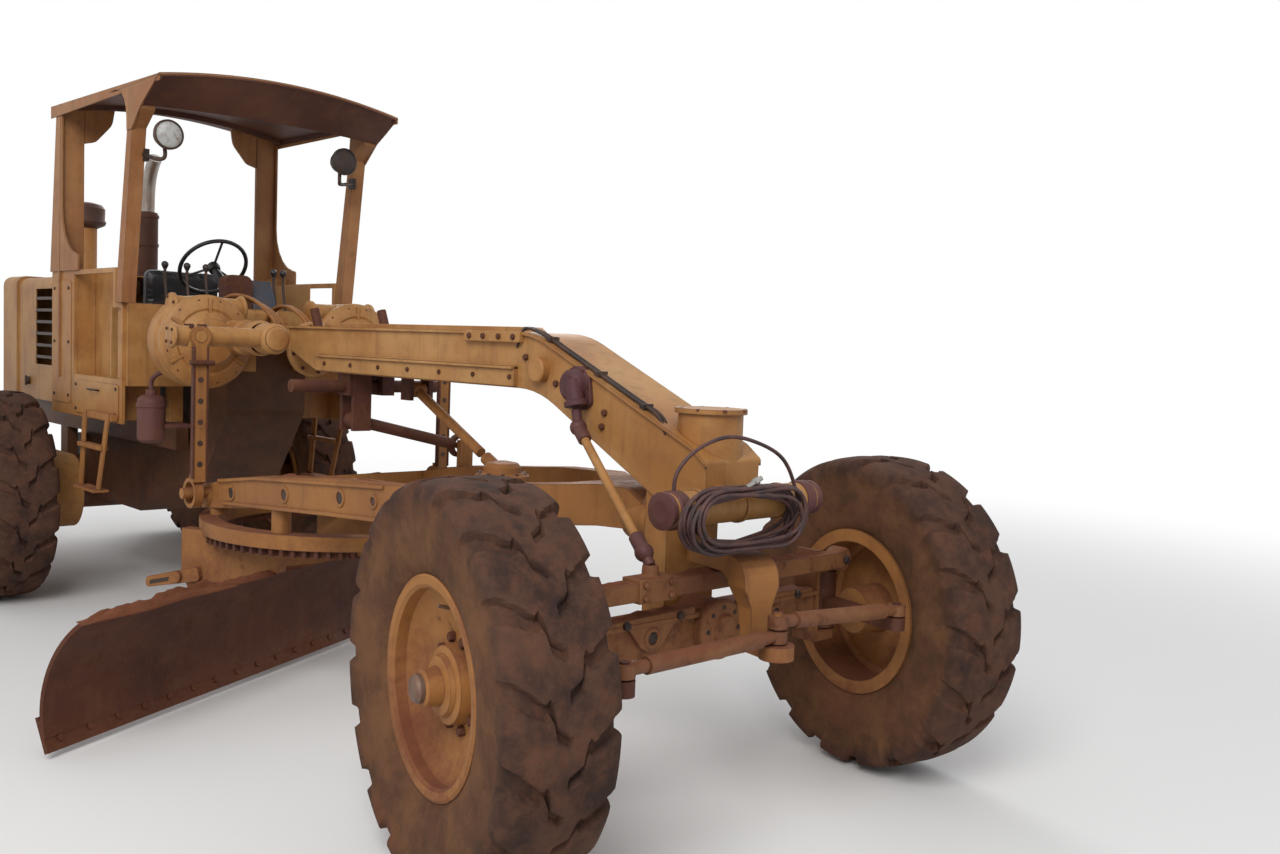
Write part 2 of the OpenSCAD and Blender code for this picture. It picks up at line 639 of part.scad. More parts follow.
module crank(side) {
    color(yellow) difference() {
        union() {
            along_x(lift_x - 70, lift_x + 50, side * lift_hub_y, lift_z, 75);
            bar([lift_x, side * (lift_hub_y + 40), lift_z], [lift_x, side * (lift_hub_y + lift_arm), lift_z], 45);
            along_x(lift_x - 50, lift_x + 75, side * (lift_hub_y + lift_arm), lift_z, 30);
            along_y(min(side * (lift_hub_y + lift_arm), side * (lift_hub_y + lift_arm + 130)), max(side * (lift_hub_y + lift_arm), side * (lift_hub_y + lift_arm + 130)), lift_x, lift_z, 30);
        }
        along_x(lift_x - 71, lift_x + 61, side * lift_hub_y, lift_z, lift_shaft_r + clear);
    }
}
module crank_right() { crank(-1); }
module crank_left() { crank(1); }

// Lower eye of a lift link, over the drawbar's pin
pin_z = 905;
link_pin_r = 28;
link_eye_r = 55;
module lift_link(side) {
    y = side * (lift_hub_y + lift_arm);
    x = lift_x + 60;
    color(rust) difference() {
        union() {
            block([x - 10, y - 32, pin_z + 60], [x + 12, y + 32, lift_z]);
            along_x(x - 10, x + 12, y, lift_z, 52);
            // Eye round the drawbar's pin
            along_y(y - 22, y + 22, lift_x, pin_z, link_eye_r + 22);
            block([lift_x, y - 22, pin_z + 60], [x + 12, y + 22, pin_z + 95]);
        }
        along_x(x - 12, x + 14, y, lift_z, 30 + clear);
        along_y(y - 23, y + 23, lift_x, pin_z, link_eye_r);
    }
}
module lift_link_right() { lift_link(-1); }
module lift_link_left() { lift_link(1); }

// Drawbar, circle and blade

ball_x = front_axle_x - 270;
ball_z = 1060;
ball_r = 55;
bar_out = 640;
bar_in = 545;
kink_x = 2150;
neck_x = 2800;
bar_rear_x = 340;
cross_l = 230;

module drawbar_plan() {
    difference() {
        polygon([[bar_rear_x, -bar_out], [kink_x, -bar_out], [neck_x, -110], [ball_x, -60],
                 [ball_x, 60], [neck_x, 110], [kink_x, bar_out], [bar_rear_x, bar_out]]);
        polygon([[bar_rear_x + cross_l, -bar_in], [kink_x - 60, -bar_in], [neck_x - 190, -70],
                 [neck_x - 190, 70], [kink_x - 60, bar_in], [bar_rear_x + cross_l, bar_in]]);
    }
}
gear_x = 1930;
gear_y = 80;
pinion_x = circle_x + circle_r + 75;
shoe_y = 592;
module drawbar() {
    color(yellow) difference() {
        drawbar_solid();
        // Socket round the frame's ball, open to the front
        translate([ball_x, 0, ball_z]) sphere(r = ball_r + clear);
        along_x(ball_x, ball_x + 100, 0, ball_z, 46);
    }
}
module drawbar_solid() {
    union() {
        along_x(ball_x - 110, ball_x + 25, 0, ball_z, 88);
        intersection() {
            translate([0, 0, 500]) linear_extrude(1000) drawbar_plan();
            side_slab(-2000, 2000) polygon(rounded([
                [bar_rear_x, 812, 20], [1130, 905, 200], [2020, 965, 200], [neck_x, 1015, 100], [ball_x, 1020, 0],
                [ball_x, 1110, 0], [ball_x - 90, 1175, 60], [neck_x, 1180, 100], [2150, 1128, 200],
                [1785, 1115, 200], [955, 1038, 200], [bar_rear_x, 935, 20]]));
        }
        // Pins for the lift links
        for (side = SIDES)
            along_y(min(side * (bar_out - 1), side * (lift_hub_y + lift_arm + 60)), max(side * (bar_out - 1), side * (lift_hub_y + lift_arm + 60)), lift_x, pin_z, link_pin_r);
        // Cross plate and case of the circle drive
        block([gear_x - 110, -bar_in - 1, 985], [gear_x + 110, bar_in + 1, 1045]);
        translate([gear_x, gear_y, 960]) cylinder(r = 80, h = 180);
        block([pinion_x, gear_y - 60, 960], [gear_x, gear_y + 60, 1060]);
        translate([pinion_x, gear_y, circle_top_z - 70]) cylinder(r = 60, h = 340);
        // Shoes that hold the circle
        for (x = [circle_x - 300, circle_x + 370], side = SIDES)
            translate([x, side * shoe_y, circle_top_z + clear]) cylinder(r = 45, h = x > circle_x ? 120 : 60);
        // Input stub of the circle drive
        bar(SHAFT_END, SHAFT_END - unit(SHAFT_END - SHAFT_TOP) * 140, 30);
        // Lug and pin for the centre shift link
        block([shift_x + 35, bar_in + 5, 1000], [shift_x + 65, bar_out - 5, shift_z1 + 35]);
        along_x(shift_x - 25, shift_x + 36, shift_y1, shift_z1, shift_pin_r);
    }
}

module turn_circle() {
    color(rust) difference() {
        translate([circle_x, 0, circle_top_z - 70]) cylinder(r = circle_r, h = 70, $fn = 96);
        translate([circle_x, 0, circle_top_z - 71]) cylinder(r = circle_r - circle_w, h = 72, $fn = 96);
    }
    // Arms from the circle down to the back of the blade
    arm_top = circle_top_z - 50;
    color(yellow) difference() {
        blade_frame() for (u = [-blade_arm_u, blade_arm_u]) translate([0, u, 0]) side_slab(-30, 30) polygon(rounded([
            [-600, arm_top, 0], [-600, 520, 100], [-430, 210, 60], [-100, 210, 0], [-20, 600, 0],
            [200, 640, 60], [490, arm_top - 25, 10], [490, arm_top, 0]]));
        blade_run() intersection() {
            translate([blade_arc_r - blade_sagitta, blade_chord / 2]) circle(r = blade_arc_r + clear, $fn = 120);
            translate([-400, -100]) square([900, blade_chord + 110]);
        }
    }
}

// The blade's own frame: X forward and square to the blade, Y along it, at the circle's centre
blade_set = 232;
module blade_frame() {
    translate([circle_x, 0, 0]) rotate(blade_angle) children();
}
blade_arm_u = 560;
blade_arc_r = blade_chord * blade_chord / (8 * blade_sagitta) + blade_sagitta / 2;
edge_h = 150;
edge_t = 18;
edge_tilt = asin(blade_chord / 2 / blade_arc_r);
blade_shift = 70;

module edge_section() {
    rotate(edge_tilt) translate([0, 0]) square([edge_t, edge_h]);
}
module moldboard_section() {
    difference() {
        intersection() {
            translate([blade_arc_r - blade_sagitta, blade_chord / 2]) difference() {
                circle(r = blade_arc_r, $fn = 120);
                circle(r = blade_arc_r - blade_t, $fn = 120);
            }
            translate([-400, 60]) square([500, blade_chord - 60]);
        }
        edge_section();
    }
}
// Places a section of the blade and runs it along the blade's length
module blade_run() {
    blade_frame() translate([-blade_set, blade_l / 2 + blade_shift, blade_gap]) rotate([90, 0, 0])
        linear_extrude(blade_l) rotate(-blade_lean) children();
}
module moldboard() {
    color(rust) blade_run() moldboard_section();
}
module cutting_edge() {
    color(steel) blade_run() edge_section();
}

// Circle drive shaft and centre shift

shaft_x = 1210;
shaft_z = 1464;
SHAFT_TOP = [shaft_x, gear_y, shaft_z];
SHAFT_END = [gear_x, gear_y, 1120];
shaft_pin_r = 14;
module circle_drive_shaft() {
    v = unit(SHAFT_END - SHAFT_TOP);
    color(yellow) difference() {
        union() {
            bar(SHAFT_TOP, SHAFT_END - v * 185, 24);
            along_y(gear_y - 40, gear_y + 40, shaft_x, shaft_z, 36);
        }
        along_y(gear_y - 41, gear_y + 41, shaft_x, shaft_z, shaft_pin_r + clear);
    }
}
shift_x = 860;
shift_y0 = -60;
shift_z0 = 1290;
shift_y1 = 590;
shift_z1 = 1140;
shift_pin_r = 18;
shift_eye_r = 44;
rack_z = 1465;
module shift_rack() {
    color(rust) {
        // Transverse bar in its guides under the beam
        along_y(-420, 420, shift_x, rack_z, 32);
        for (side = SIDES) block([shift_x - 60, min(side * 60, side * 130), rack_z - 45], [shift_x + 60, max(side * 60, side * 130), beam_bottom_z]);
        // Ears and pin for the centre shift link
        for (dx = [-70, 45]) block([shift_x + dx, shift_y0 - 50, shift_z0 - 50], [shift_x + dx + 25, shift_y0 + 50, beam_bottom_z]);
        along_x(shift_x - 70, shift_x + 70, shift_y0, shift_z0, shift_pin_r);
        // Hanger of the circle drive shaft and its pin
        for (dy = [-68, 44]) block([shaft_x - 40, gear_y + dy, shaft_z - 50], [shaft_x + 40, gear_y + dy + 24, beam_bottom_z]);
        along_y(gear_y - 50, gear_y + 50, shaft_x, shaft_z, shaft_pin_r);
    }
}
module shift_link() {
    a = [shift_x, shift_y0, shift_z0];
    b = [shift_x, shift_y1, shift_z1];
    v = unit(b - a);
    color(rust) difference() {
        union() {
            bar(a, b - v * (shift_eye_r + 10), 30);
            along_x(shift_x - 40, shift_x + 40, shift_y0, shift_z0, 45);
            along_x(shift_x - 20, shift_x + 20, shift_y1, shift_z1, shift_eye_r + 20);
        }
        along_x(shift_x - 41, shift_x + 41, shift_y0, shift_z0, shift_pin_r + clear);
        along_x(shift_x - 31, shift_x + 31, shift_y1, shift_z1, shift_eye_r);
    }
}

// Small pieces

lamp_x = -255;
lamp_y = 475;
lamp_z = 2755;
module head_lamps() {
    color(steel) for (side = SIDES) {
        along_x(lamp_x - 45, lamp_x + 45, side * lamp_y, lamp_z, 75);
        along_x(lamp_x - 75, lamp_x - 44, side * lamp_y, lamp_z, 40);
        // Arm from the front post
        block([lamp_x - 20, min(side * (lamp_y + 70), side * (cab_half_w - wall_t - post_t)), lamp_z - 20],
              [lamp_x + 20, max(side * (lamp_y + 70), side * (cab_half_w - wall_t - post_t)), lamp_z + 20]);
    }
}
module steps() {
    color(yellow) for (side = SIDES) {
        for (x = [-1050, -670])
            side_slab(min(side * 700, side * 780), max(side * 700, side * 780)) polygon([[x, 760], [x + 30, 760], [x + 30, 1400], [x, 1400]]);
        for (z = [770, 1060]) block([-1051, min(side * 700, side * 800), z], [-639, max(side * 700, side * 800), z + 30]);
        block([-1051, min(side * (cab_half_w), side * 701), 1200], [-639, max(side * (cab_half_w), side * 701), 1260]);
    }
}
nose_cyl_r = 60;
nose_cyl_x = nose_x + 75;
nose_cyl_z = 1180;
module front_cylinder() {
    color(yellow) {
        along_y(-410, 330, nose_cyl_x, nose_cyl_z, nose_cyl_r);
        for (side = SIDES) block([nose_x, min(side * 60, side * 110), nose_cyl_z - 20], [nose_cyl_x, max(side * 60, side * 110), nose_cyl_z + 60]);
    }
}
module control_shafts() {
    color(rust) {
        along_x(shaft_x - 200, front_axle_x - 980, -beam_half_w - 40, 1640, 16);
        for (x = [shaft_x - 190, front_axle_x - 1040]) block([x, -beam_half_w - 60, 1600], [x + 50, -beam_half_w, 1680]);
    }
}
hank_x = nose_cyl_x + nose_cyl_r + clear;
hank_t = 100;
hank_y = -130;
hank_half_l = 330;
hank_r = 125;
hank_z = 1150;
module hose_hank() {
    color(dark) translate([hank_x, 0, hank_z]) rotate([90, 0, 90]) linear_extrude(hank_t) difference() {
        polygon(rounded([[-hank_half_l + hank_y, -hank_r, hank_r - 2], [-hank_half_l + hank_y, hank_r, hank_r - 2],
            [hank_half_l + hank_y, hank_r, hank_r - 2], [hank_half_l + hank_y, -hank_r, hank_r - 2]], 8));
    }
}

main_frame();
front_axle();
lean_bar();
steering_arm();
tie_rod_right();
tie_rod_left();
knuckle_right();
knuckle_left();
tyre_front_right();
tyre_front_left();
rim_front_right();
rim_front_left();
tyre_middle_right();
tyre_middle_left();
tyre_rear_right();
tyre_rear_left();
rim_middle_right();
rim_middle_left();
rim_rear_right();
rim_rear_left();
tandem_cases();
drive_case();
rear_frame();
engine_block();
engine_hood();
radiator_guard();
exhaust();
air_cleaner();
cab_floor();
canopy();
seat();
steering_column();
control_levers();
lift_cases();
crank_right();
crank_left();
lift_link_right();
lift_link_left();
drawbar();
turn_circle();
moldboard();
cutting_edge();
circle_drive_shaft();
shift_rack();
shift_link();
head_lamps();
steps();
front_cylinder();
control_shafts();
hose_hank();
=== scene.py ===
import json
import math
import bmesh
import bpy
import numpy as np
from mathutils import Matrix, Vector


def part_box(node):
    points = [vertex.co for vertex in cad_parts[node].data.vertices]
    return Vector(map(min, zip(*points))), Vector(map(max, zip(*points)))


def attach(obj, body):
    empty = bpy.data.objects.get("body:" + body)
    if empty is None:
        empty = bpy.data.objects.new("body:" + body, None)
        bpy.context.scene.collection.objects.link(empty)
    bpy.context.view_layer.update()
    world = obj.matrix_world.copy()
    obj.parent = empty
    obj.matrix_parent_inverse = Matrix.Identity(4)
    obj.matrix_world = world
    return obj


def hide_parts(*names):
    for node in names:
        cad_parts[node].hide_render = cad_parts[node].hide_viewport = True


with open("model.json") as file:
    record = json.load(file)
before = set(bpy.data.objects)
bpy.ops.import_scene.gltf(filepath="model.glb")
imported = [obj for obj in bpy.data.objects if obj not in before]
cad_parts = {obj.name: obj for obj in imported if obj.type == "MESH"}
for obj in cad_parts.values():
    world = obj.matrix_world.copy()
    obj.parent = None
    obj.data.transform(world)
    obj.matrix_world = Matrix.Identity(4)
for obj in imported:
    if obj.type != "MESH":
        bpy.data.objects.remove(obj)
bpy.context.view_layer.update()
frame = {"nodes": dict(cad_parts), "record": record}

scene = bpy.context.scene

# Camera, solved from the tyres, the wheel places and the blade
CAMERA_AT = (6.169, -3.1356, 1.7145)
CAMERA_YAW = math.radians(46.123)
CAMERA_PITCH = math.radians(3.865)
CAMERA_ROLL = math.radians(2.210)
SENSOR_W = 36.0
LENS = 32.72


def add_camera():
    """The view direction is +Y turned by the yaw towards -X and dipped by the pitch; the roll turns the
    frame about it."""
    forward = Vector((-math.sin(CAMERA_YAW) * math.cos(CAMERA_PITCH),
                      math.cos(CAMERA_YAW) * math.cos(CAMERA_PITCH), -math.sin(CAMERA_PITCH)))
    right = forward.cross(Vector((0, 0, 1))).normalized()
    up = right.cross(forward)
    rolled_right = math.cos(CAMERA_ROLL) * right + math.sin(CAMERA_ROLL) * up
    rolled_up = math.cos(CAMERA_ROLL) * up - math.sin(CAMERA_ROLL) * right
    turn = Matrix((rolled_right, rolled_up, -forward)).transposed().to_4x4()
    data = bpy.data.cameras.new("camera")
    data.sensor_width = SENSOR_W
    data.lens = LENS
    camera = bpy.data.objects.new("camera", data)
    camera.matrix_world = Matrix.Translation(CAMERA_AT) @ turn
    scene.collection.objects.link(camera)
    scene.camera = camera


add_camera()
scene.view_settings.view_transform = "Standard"

# Mesh tools: each gives (points, faces), and new_piece joins them into one object

TAU = 2 * math.pi
AHEAD = (1.0, 0.0, 0.0)
UP = (0.0, 0.0, 1.0)
RIGHTWARD = (0.0, -1.0, 0.0)
SIDES = ((-1, "right"), (1, "left"))
SHARP_ANGLE = math.radians(32)
BEVEL_ANGLE = math.radians(40)


def new_piece(name, parts, material, body="chassis", bevel=0.0):
    """One mesh object from many (points, faces) pairs, its poles merged and its faces turned outwards."""
    points, faces, start = [], [], 0
    for part_points, part_faces in parts:
        part_points = np.asarray(part_points, float).reshape(-1, 3)
        points.append(part_points)
        faces += [[i + start for i in face] for face in part_faces]
        start += len(part_points)
    mesh = bpy.data.meshes.new(name)
    mesh.from_pydata(np.concatenate(points).tolist(), [], faces)
    made = bmesh.new()
    made.from_mesh(mesh)
    bmesh.ops.remove_doubles(made, verts=made.verts, dist=1e-6)
    bmesh.ops.recalc_face_normals(made, faces=made.faces)
    made.to_mesh(mesh)
    made.free()
    mesh.shade_smooth()
    mesh.set_sharp_from_angle(angle=SHARP_ANGLE)
    mesh.materials.append(material)
    piece = bpy.data.objects.new(name, mesh)
    scene.collection.objects.link(piece)
    if bevel:
        soft = piece.modifiers.new("soft edges", "BEVEL")
        soft.width = bevel
        soft.segments = 2
        soft.limit_method = "ANGLE"
        soft.angle_limit = BEVEL_ANGLE
    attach(piece, body)
    return piece


def grid_faces(rows, cols, wrap_rows=False, wrap_cols=False):
    """Quads between neighbours of a rows by cols grid, closed round either way where asked."""
    r, c = np.meshgrid(np.arange(rows - (not wrap_rows)), np.arange(cols - (not wrap_cols)), indexing="ij")
    r1, c1 = (r + 1) % rows, (c + 1) % cols
    quads = np.stack([r * cols + c, r1 * cols + c, r1 * cols + c1, r * cols + c1], -1)
    return quads.reshape(-1, 4).tolist()


def step(value, low, high):
    """Smooth step from 0 at low to 1 at high: 3t squared less 2t cubed."""
    t = np.clip((value - low) / (high - low), 0, 1)
    return t * t * (3 - 2 * t)


def rounded(outline, steps=5):
    """The outline's corners (u, v, radius) as arcs that touch both edges; (u, v) alone is a sharp
    corner."""
    corners = [tuple(c) + (0.0,) * (3 - len(c)) for c in outline]
    points = []
    for k, (u, v, radius) in enumerate(corners):
        here = np.array([u, v])
        if radius <= 0:
            points.append(here)
            continue
        to_last = np.array(corners[k - 1][:2]) - here
        to_next = np.array(corners[(k + 1) % len(corners)][:2]) - here
        to_last, to_next = to_last / np.linalg.norm(to_last), to_next / np.linalg.norm(to_next)
        half = math.acos(np.clip(to_last @ to_next, -1, 1)) / 2
        middle = to_last + to_next
        centre = here + middle / np.linalg.norm(middle) * radius / math.sin(half)
        start, end = here + to_last * radius / math.tan(half), here + to_next * radius / math.tan(half)
        a0 = math.atan2(*(start - centre)[::-1])
        turn = (math.atan2(*(end - centre)[::-1]) - a0 + 3 * math.pi) % TAU - math.pi
        arc = a0 + turn * np.linspace(0, 1, steps + 1)
        points += list(centre + radius * np.stack([np.cos(arc), np.sin(arc)], -1))
    return np.array(points)


def plate(outline, low, high, axis="y"):
    """A flat outline carried straight along one axis from low to high, with both ends closed."""
    flat = rounded(outline)
    order = {"x": (2, 0, 1), "y": (0, 2, 1), "z": (0, 1, 2)}[axis]
    ends = [np.column_stack([flat, np.full(len(flat), end)])[:, order] for end in (low, high)]
    n = len(flat)
    return np.concatenate(ends), grid_faces(2, n, wrap_cols=True) + [list(range(n)), list(range(n, 2 * n))]


def slab(low, high):
    """A right-angled solid between two corners; its edges get their bevel from new_piece."""
    return plate([(low[0], low[1]), (high[0], low[1]), (high[0], high[1]), (low[0], high[1])], low[2],
                 high[2], "z")


def on_side(side, near, far):
    """Two distances from the middle plane as lower and higher Y on one side."""
    return min(side * near, side * far), max(side * near, side * far)


def side_slab(side, x, y, z):
    """A slab between two X, two distances from the middle plane on one side, and two Z."""
    near, far = on_side(side, *y)
    return slab((x[0], near, z[0]), (x[1], far, z[1]))


def ring_places(centre, axis, radius, count, start=0.0):
    """Places spread evenly round a centre, in the plane square to one axis."""
    turn = np.arange(count) * TAU / count + start
    around = radius * np.stack([np.cos(turn), np.sin(turn)], -1)
    return np.asarray(centre) + np.insert(around, "xyz".index(axis), 0, axis=1)


def tube(path, radius, sides=12):
    """A circle carried along a path, its axes at each point the last ones less their part along the
    tangent."""
    path = np.asarray(path, float)
    tangent = np.gradient(path, axis=0)
    tangent /= np.linalg.norm(tangent, axis=1, keepdims=True)
    radius = np.broadcast_to(np.asarray(radius, float), (len(path),))
    across = np.cross(tangent[0], [0, 0, 1.0])
    if np.linalg.norm(across) < 0.1:
        across = np.cross(tangent[0], [0, 1.0, 0])
    carried = []
    for t in tangent:
        across = across - t * across.dot(t)
        across = across / np.linalg.norm(across)
        carried.append(across)
    a = np.array(carried)
    b = np.cross(tangent, a)
    turn = np.linspace(0, TAU, sides, endpoint=False)
    ring = a[:, None] * np.cos(turn)[:, None] + b[:, None] * np.sin(turn)[:, None]
    points = (path[:, None] + ring * radius[:, None, None]).reshape(-1, 3)
    ends = [list(range(sides)), list(range(len(points) - sides, len(points)))]
    return points, grid_faces(len(path), sides, wrap_cols=True) + ends


def rod(start, end, radius, sides=16):
    """A round bar with small chamfers at both ends: radii 0.85, 1, 1, 0.85 along the line."""
    start, end = np.asarray(start, float), np.asarray(end, float)
    length = np.linalg.norm(end - start)
    chamfer = min(0.2 * radius, 0.25 * length) / length
    at = np.array([0, chamfer, 1 - chamfer, 1])[:, None]
    return tube(start + (end - start) * at, radius * np.array([0.85, 1, 1, 0.85]), sides)


def lathe(profile, centre, axis, turns=48, closed=False):
    """A profile of (radius, distance along the axis) turned once about the axis through the centre."""
    axis = np.asarray(axis, float) / np.linalg.norm(axis)
    side = np.cross(axis, [0.3, 0.5, 0.8])
    side = side / np.linalg.norm(side)
    other = np.cross(axis, side)
    profile = np.asarray(profile, float)
    turn = np.linspace(0, TAU, turns, endpoint=False)
    ring = side * np.cos(turn)[:, None] + other * np.sin(turn)[:, None]
    points = np.asarray(centre, float) + profile[:, None, 0:1] * ring[None] + profile[:, None, 1:2] * axis
    return points.reshape(-1, 3), grid_faces(len(profile), turns, wrap_rows=closed, wrap_cols=True)


def bolt_heads(places, direction, radius, height):
    """Six-sided heads with a chamfered top: rings of radius r, r and 0.8 r, and a point in the middle, at
    every place."""
    places = np.asarray(places, float).reshape(-1, 3)
    points, faces = lathe([(0, -0.3 * height), (radius, -0.3 * height), (radius, 0.75 * height),
                           (0.8 * radius, height), (0, height)], (0, 0, 0), direction, 6)
    all_points = (places[:, None] + points[None]).reshape(-1, 3)
    shift = np.arange(len(places)) * len(points)
    return all_points, (np.array(faces)[None] + shift[:, None, None]).reshape(-1, 4).tolist()


def smooth_path(points, count):
    """A Catmull-Rom curve through the points, at count places spread evenly over their order."""
    p = np.asarray(points, float)
    p = np.concatenate([[2 * p[0] - p[1]], p, [2 * p[-1] - p[-2]]])
    s = np.linspace(0, len(p) - 3 - 1e-9, count)
    k = s.astype(int)
    u = (s - k)[:, None]
    a, b, c, d = p[k], p[k + 1], p[k + 2], p[k + 3]
    square, cube = 2 * a - 5 * b + 4 * c - d, 3 * b - a - 3 * c + d
    return 0.5 * (2 * b + (c - a) * u + square * u ** 2 + cube * u ** 3)


# Shader groups, shared by the finishes

def new_group(name, inputs, outputs):
    """A shader node group with its named sockets; gives the tree and its two end nodes."""
    tree = bpy.data.node_groups.new(name, "ShaderNodeTree")
    for label, kind, value in inputs:
        socket = tree.interface.new_socket(label, in_out="INPUT", socket_type=kind)
        socket.default_value = value
    for label, kind in outputs:
        tree.interface.new_socket(label, in_out="OUTPUT", socket_type=kind)
    return tree, tree.nodes.new("NodeGroupInput"), tree.nodes.new("NodeGroupOutput")


def node(tree, kind, **settings):
    """A node with its properties set; settings named in_NAME go on its input NAME."""
    made = tree.nodes.new(kind)
    for key, value in settings.items():
        if key.startswith("in_"):
            made.inputs[key[3:]].default_value = value
        else:
            setattr(made, key, value)
    return made


def noise(tree, scale, detail=6.0, rough=0.6, stretch=None):
    """Noise on Object coordinates; the scale is a number or a socket, and stretch scales the three axes."""
    place = node(tree, "ShaderNodeTexCoord").outputs["Object"]
    if stretch:
        spread = node(tree, "ShaderNodeMapping", in_Scale=stretch)
        tree.links.new(place, spread.inputs["Vector"])
        place = spread.outputs["Vector"]
    made = node(tree, "ShaderNodeTexNoise", in_Detail=detail, in_Roughness=rough)
    tree.links.new(place, made.inputs["Vector"])
    put(tree, made.inputs["Scale"], scale)
    return made.outputs["Fac"]


def put(tree, socket, value):
    """Sets a socket to a number or colour, or links it to another socket."""
    if isinstance(value, (int, float, tuple)):
        socket.default_value = value
    else:
        tree.links.new(value, socket)


def ramp(tree, value, low, high):
    """Maps a value from low..high to 0..1 with smooth ends."""
    made = node(tree, "ShaderNodeMapRange", interpolation_type="SMOOTHSTEP")
    for name, given in (("Value", value), ("From Min", low), ("From Max", high)):
        put(tree, made.inputs[name], given)
    return made.outputs["Result"]


def maths(tree, operation, a, b=0.0, clamp=False):
    """One sum on two values, each a socket or a number."""
    made = node(tree, "ShaderNodeMath", operation=operation, use_clamp=clamp)
    put(tree, made.inputs[0], a)
    put(tree, made.inputs[1], b)
    return made.outputs[0]


def plus(tree, a, b, clamp=False):
    """The sum of two values, each a socket or a number."""
    return maths(tree, "ADD", a, b, clamp)


def times(tree, a, b):
    """The product of two values, each a socket or a number."""
    return maths(tree, "MULTIPLY", a, b)


def blend_colours(tree, mask, a, b):
    """Mixes two colours, each a socket or a colour, by a mask."""
    made = node(tree, "ShaderNodeMix", data_type="RGBA")
    for index, value in ((0, mask), (6, a), (7, b)):
        put(tree, made.inputs[index], value)
    return made.outputs[2]


def edge_wear_group():
    """The normal rounded over a few millimetres is set against the flat one: where they differ is an
    edge."""
    tree, given, out = new_group("edge wear", [("Radius", "NodeSocketFloat", 0.012),
                                               ("Amount", "NodeSocketFloat", 0.5)],
                                 [("Mask", "NodeSocketFloat")])
    rounding = node(tree, "ShaderNodeBevel", samples=4)
    tree.links.new(given.outputs["Radius"], rounding.inputs["Radius"])
    flat = node(tree, "ShaderNodeNewGeometry")
    dot = node(tree, "ShaderNodeVectorMath", operation="DOT_PRODUCT")
    tree.links.new(rounding.outputs["Normal"], dot.inputs[0])
    tree.links.new(flat.outputs["Normal"], dot.inputs[1])
    bend = maths(tree, "SUBTRACT", 1.0, dot.outputs["Value"])
    broken = times(tree, bend, times(tree, noise(tree, 22.0, 8.0), 9.0))
    mask = ramp(tree, times(tree, broken, given.outputs["Amount"]), 0.10, 0.45)
    tree.links.new(mask, out.inputs["Mask"])
    return tree


def mud_group():
    """Red earth: thick below a height and thinner above, broken by two noises, more on faces that look
    up."""
    tree, given, out = new_group(
        "red earth", [("Height", "NodeSocketFloat", 0.8), ("Fade", "NodeSocketFloat", 0.8),
                      ("Upward", "NodeSocketFloat", 0.3), ("Amount", "NodeSocketFloat", 0.5)],
        [("Mask", "NodeSocketFloat"), ("Bump", "NodeSocketFloat")])
    place = node(tree, "ShaderNodeTexCoord")
    split = node(tree, "ShaderNodeSeparateXYZ")
    tree.links.new(place.outputs["Object"], split.inputs[0])
    depth = maths(tree, "SUBTRACT", given.outputs["Height"], split.outputs["Z"])
    below = maths(tree, "MINIMUM", maths(tree, "DIVIDE", depth, given.outputs["Fade"]), 1.0)
    facing = node(tree, "ShaderNodeSeparateXYZ")
    tree.links.new(node(tree, "ShaderNodeNewGeometry").outputs["Normal"], facing.inputs[0])
    up = times(tree, maths(tree, "MAXIMUM", facing.outputs["Z"], 0.0), given.outputs["Upward"])
    coarse = noise(tree, 2.6, 7.0, 0.65)
    fine = noise(tree, 31.0, 5.0, 0.7)
    mixed = plus(tree, times(tree, coarse, 1.4), times(tree, fine, 0.5))
    lie = times(tree, plus(tree, maths(tree, "MAXIMUM", below, -0.6), up), 0.55)
    total = plus(tree, plus(tree, lie, maths(tree, "SUBTRACT", mixed, 1.0)), given.outputs["Amount"])
    mask = ramp(tree, total, 0.30, 0.85)
    tree.links.new(mask, out.inputs["Mask"])
    tree.links.new(times(tree, mask, fine), out.inputs["Bump"])
    return tree


def rust_group():
    """Rust where a coarse and a fine noise add up high enough, darker in the pits of the fine one."""
    tree, given, out = new_group("rust", [("Scale", "NodeSocketFloat", 6.0),
                                          ("Amount", "NodeSocketFloat", 0.2)],
                                 [("Mask", "NodeSocketFloat"), ("Colour", "NodeSocketColor"),
                                  ("Bump", "NodeSocketFloat")])
    coarse = noise(tree, given.outputs["Scale"], 9.0, 0.72)
    fine = noise(tree, 58.0, 6.0, 0.75)
    total = plus(tree, coarse, times(tree, fine, 0.25))
    mask = ramp(tree, plus(tree, total, given.outputs["Amount"]), 0.95, 1.15)
    colour = blend_colours(tree, ramp(tree, fine, 0.30, 0.72), (0.045, 0.016, 0.010, 1),
                           (0.160, 0.052, 0.020, 1))
    tree.links.new(mask, out.inputs["Mask"])
    tree.links.new(colour, out.inputs["Colour"])
    tree.links.new(times(tree, mask, fine), out.inputs["Bump"])
    return tree


EDGE_WEAR = edge_wear_group()
RED_EARTH = mud_group()
RUST = rust_group()
EARTH_WET = (0.115, 0.034, 0.015, 1)
EARTH_DRY = (0.210, 0.078, 0.037, 1)


def use_group(tree, group, **values):
    """Places a shared group and sets its inputs by name."""
    made = node(tree, "ShaderNodeGroup", node_tree=group)
    for name, value in values.items():
        made.inputs[name].default_value = value
    return made


def new_material(name):
    """A material with a Principled BSDF; gives the material, its tree and the shader."""
    made = bpy.data.materials.new(name)
    made.use_nodes = True
    tree = made.node_tree
    return made, tree, tree.nodes["Principled BSDF"]


def add_relief(tree, shader, height, strength, distance):
    """A Bump node from a height to the shader's normal."""
    relief = node(tree, "ShaderNodeBump", in_Strength=strength, in_Distance=distance)
    tree.links.new(height, relief.inputs["Height"])
    tree.links.new(relief.outputs["Normal"], shader.inputs["Normal"])


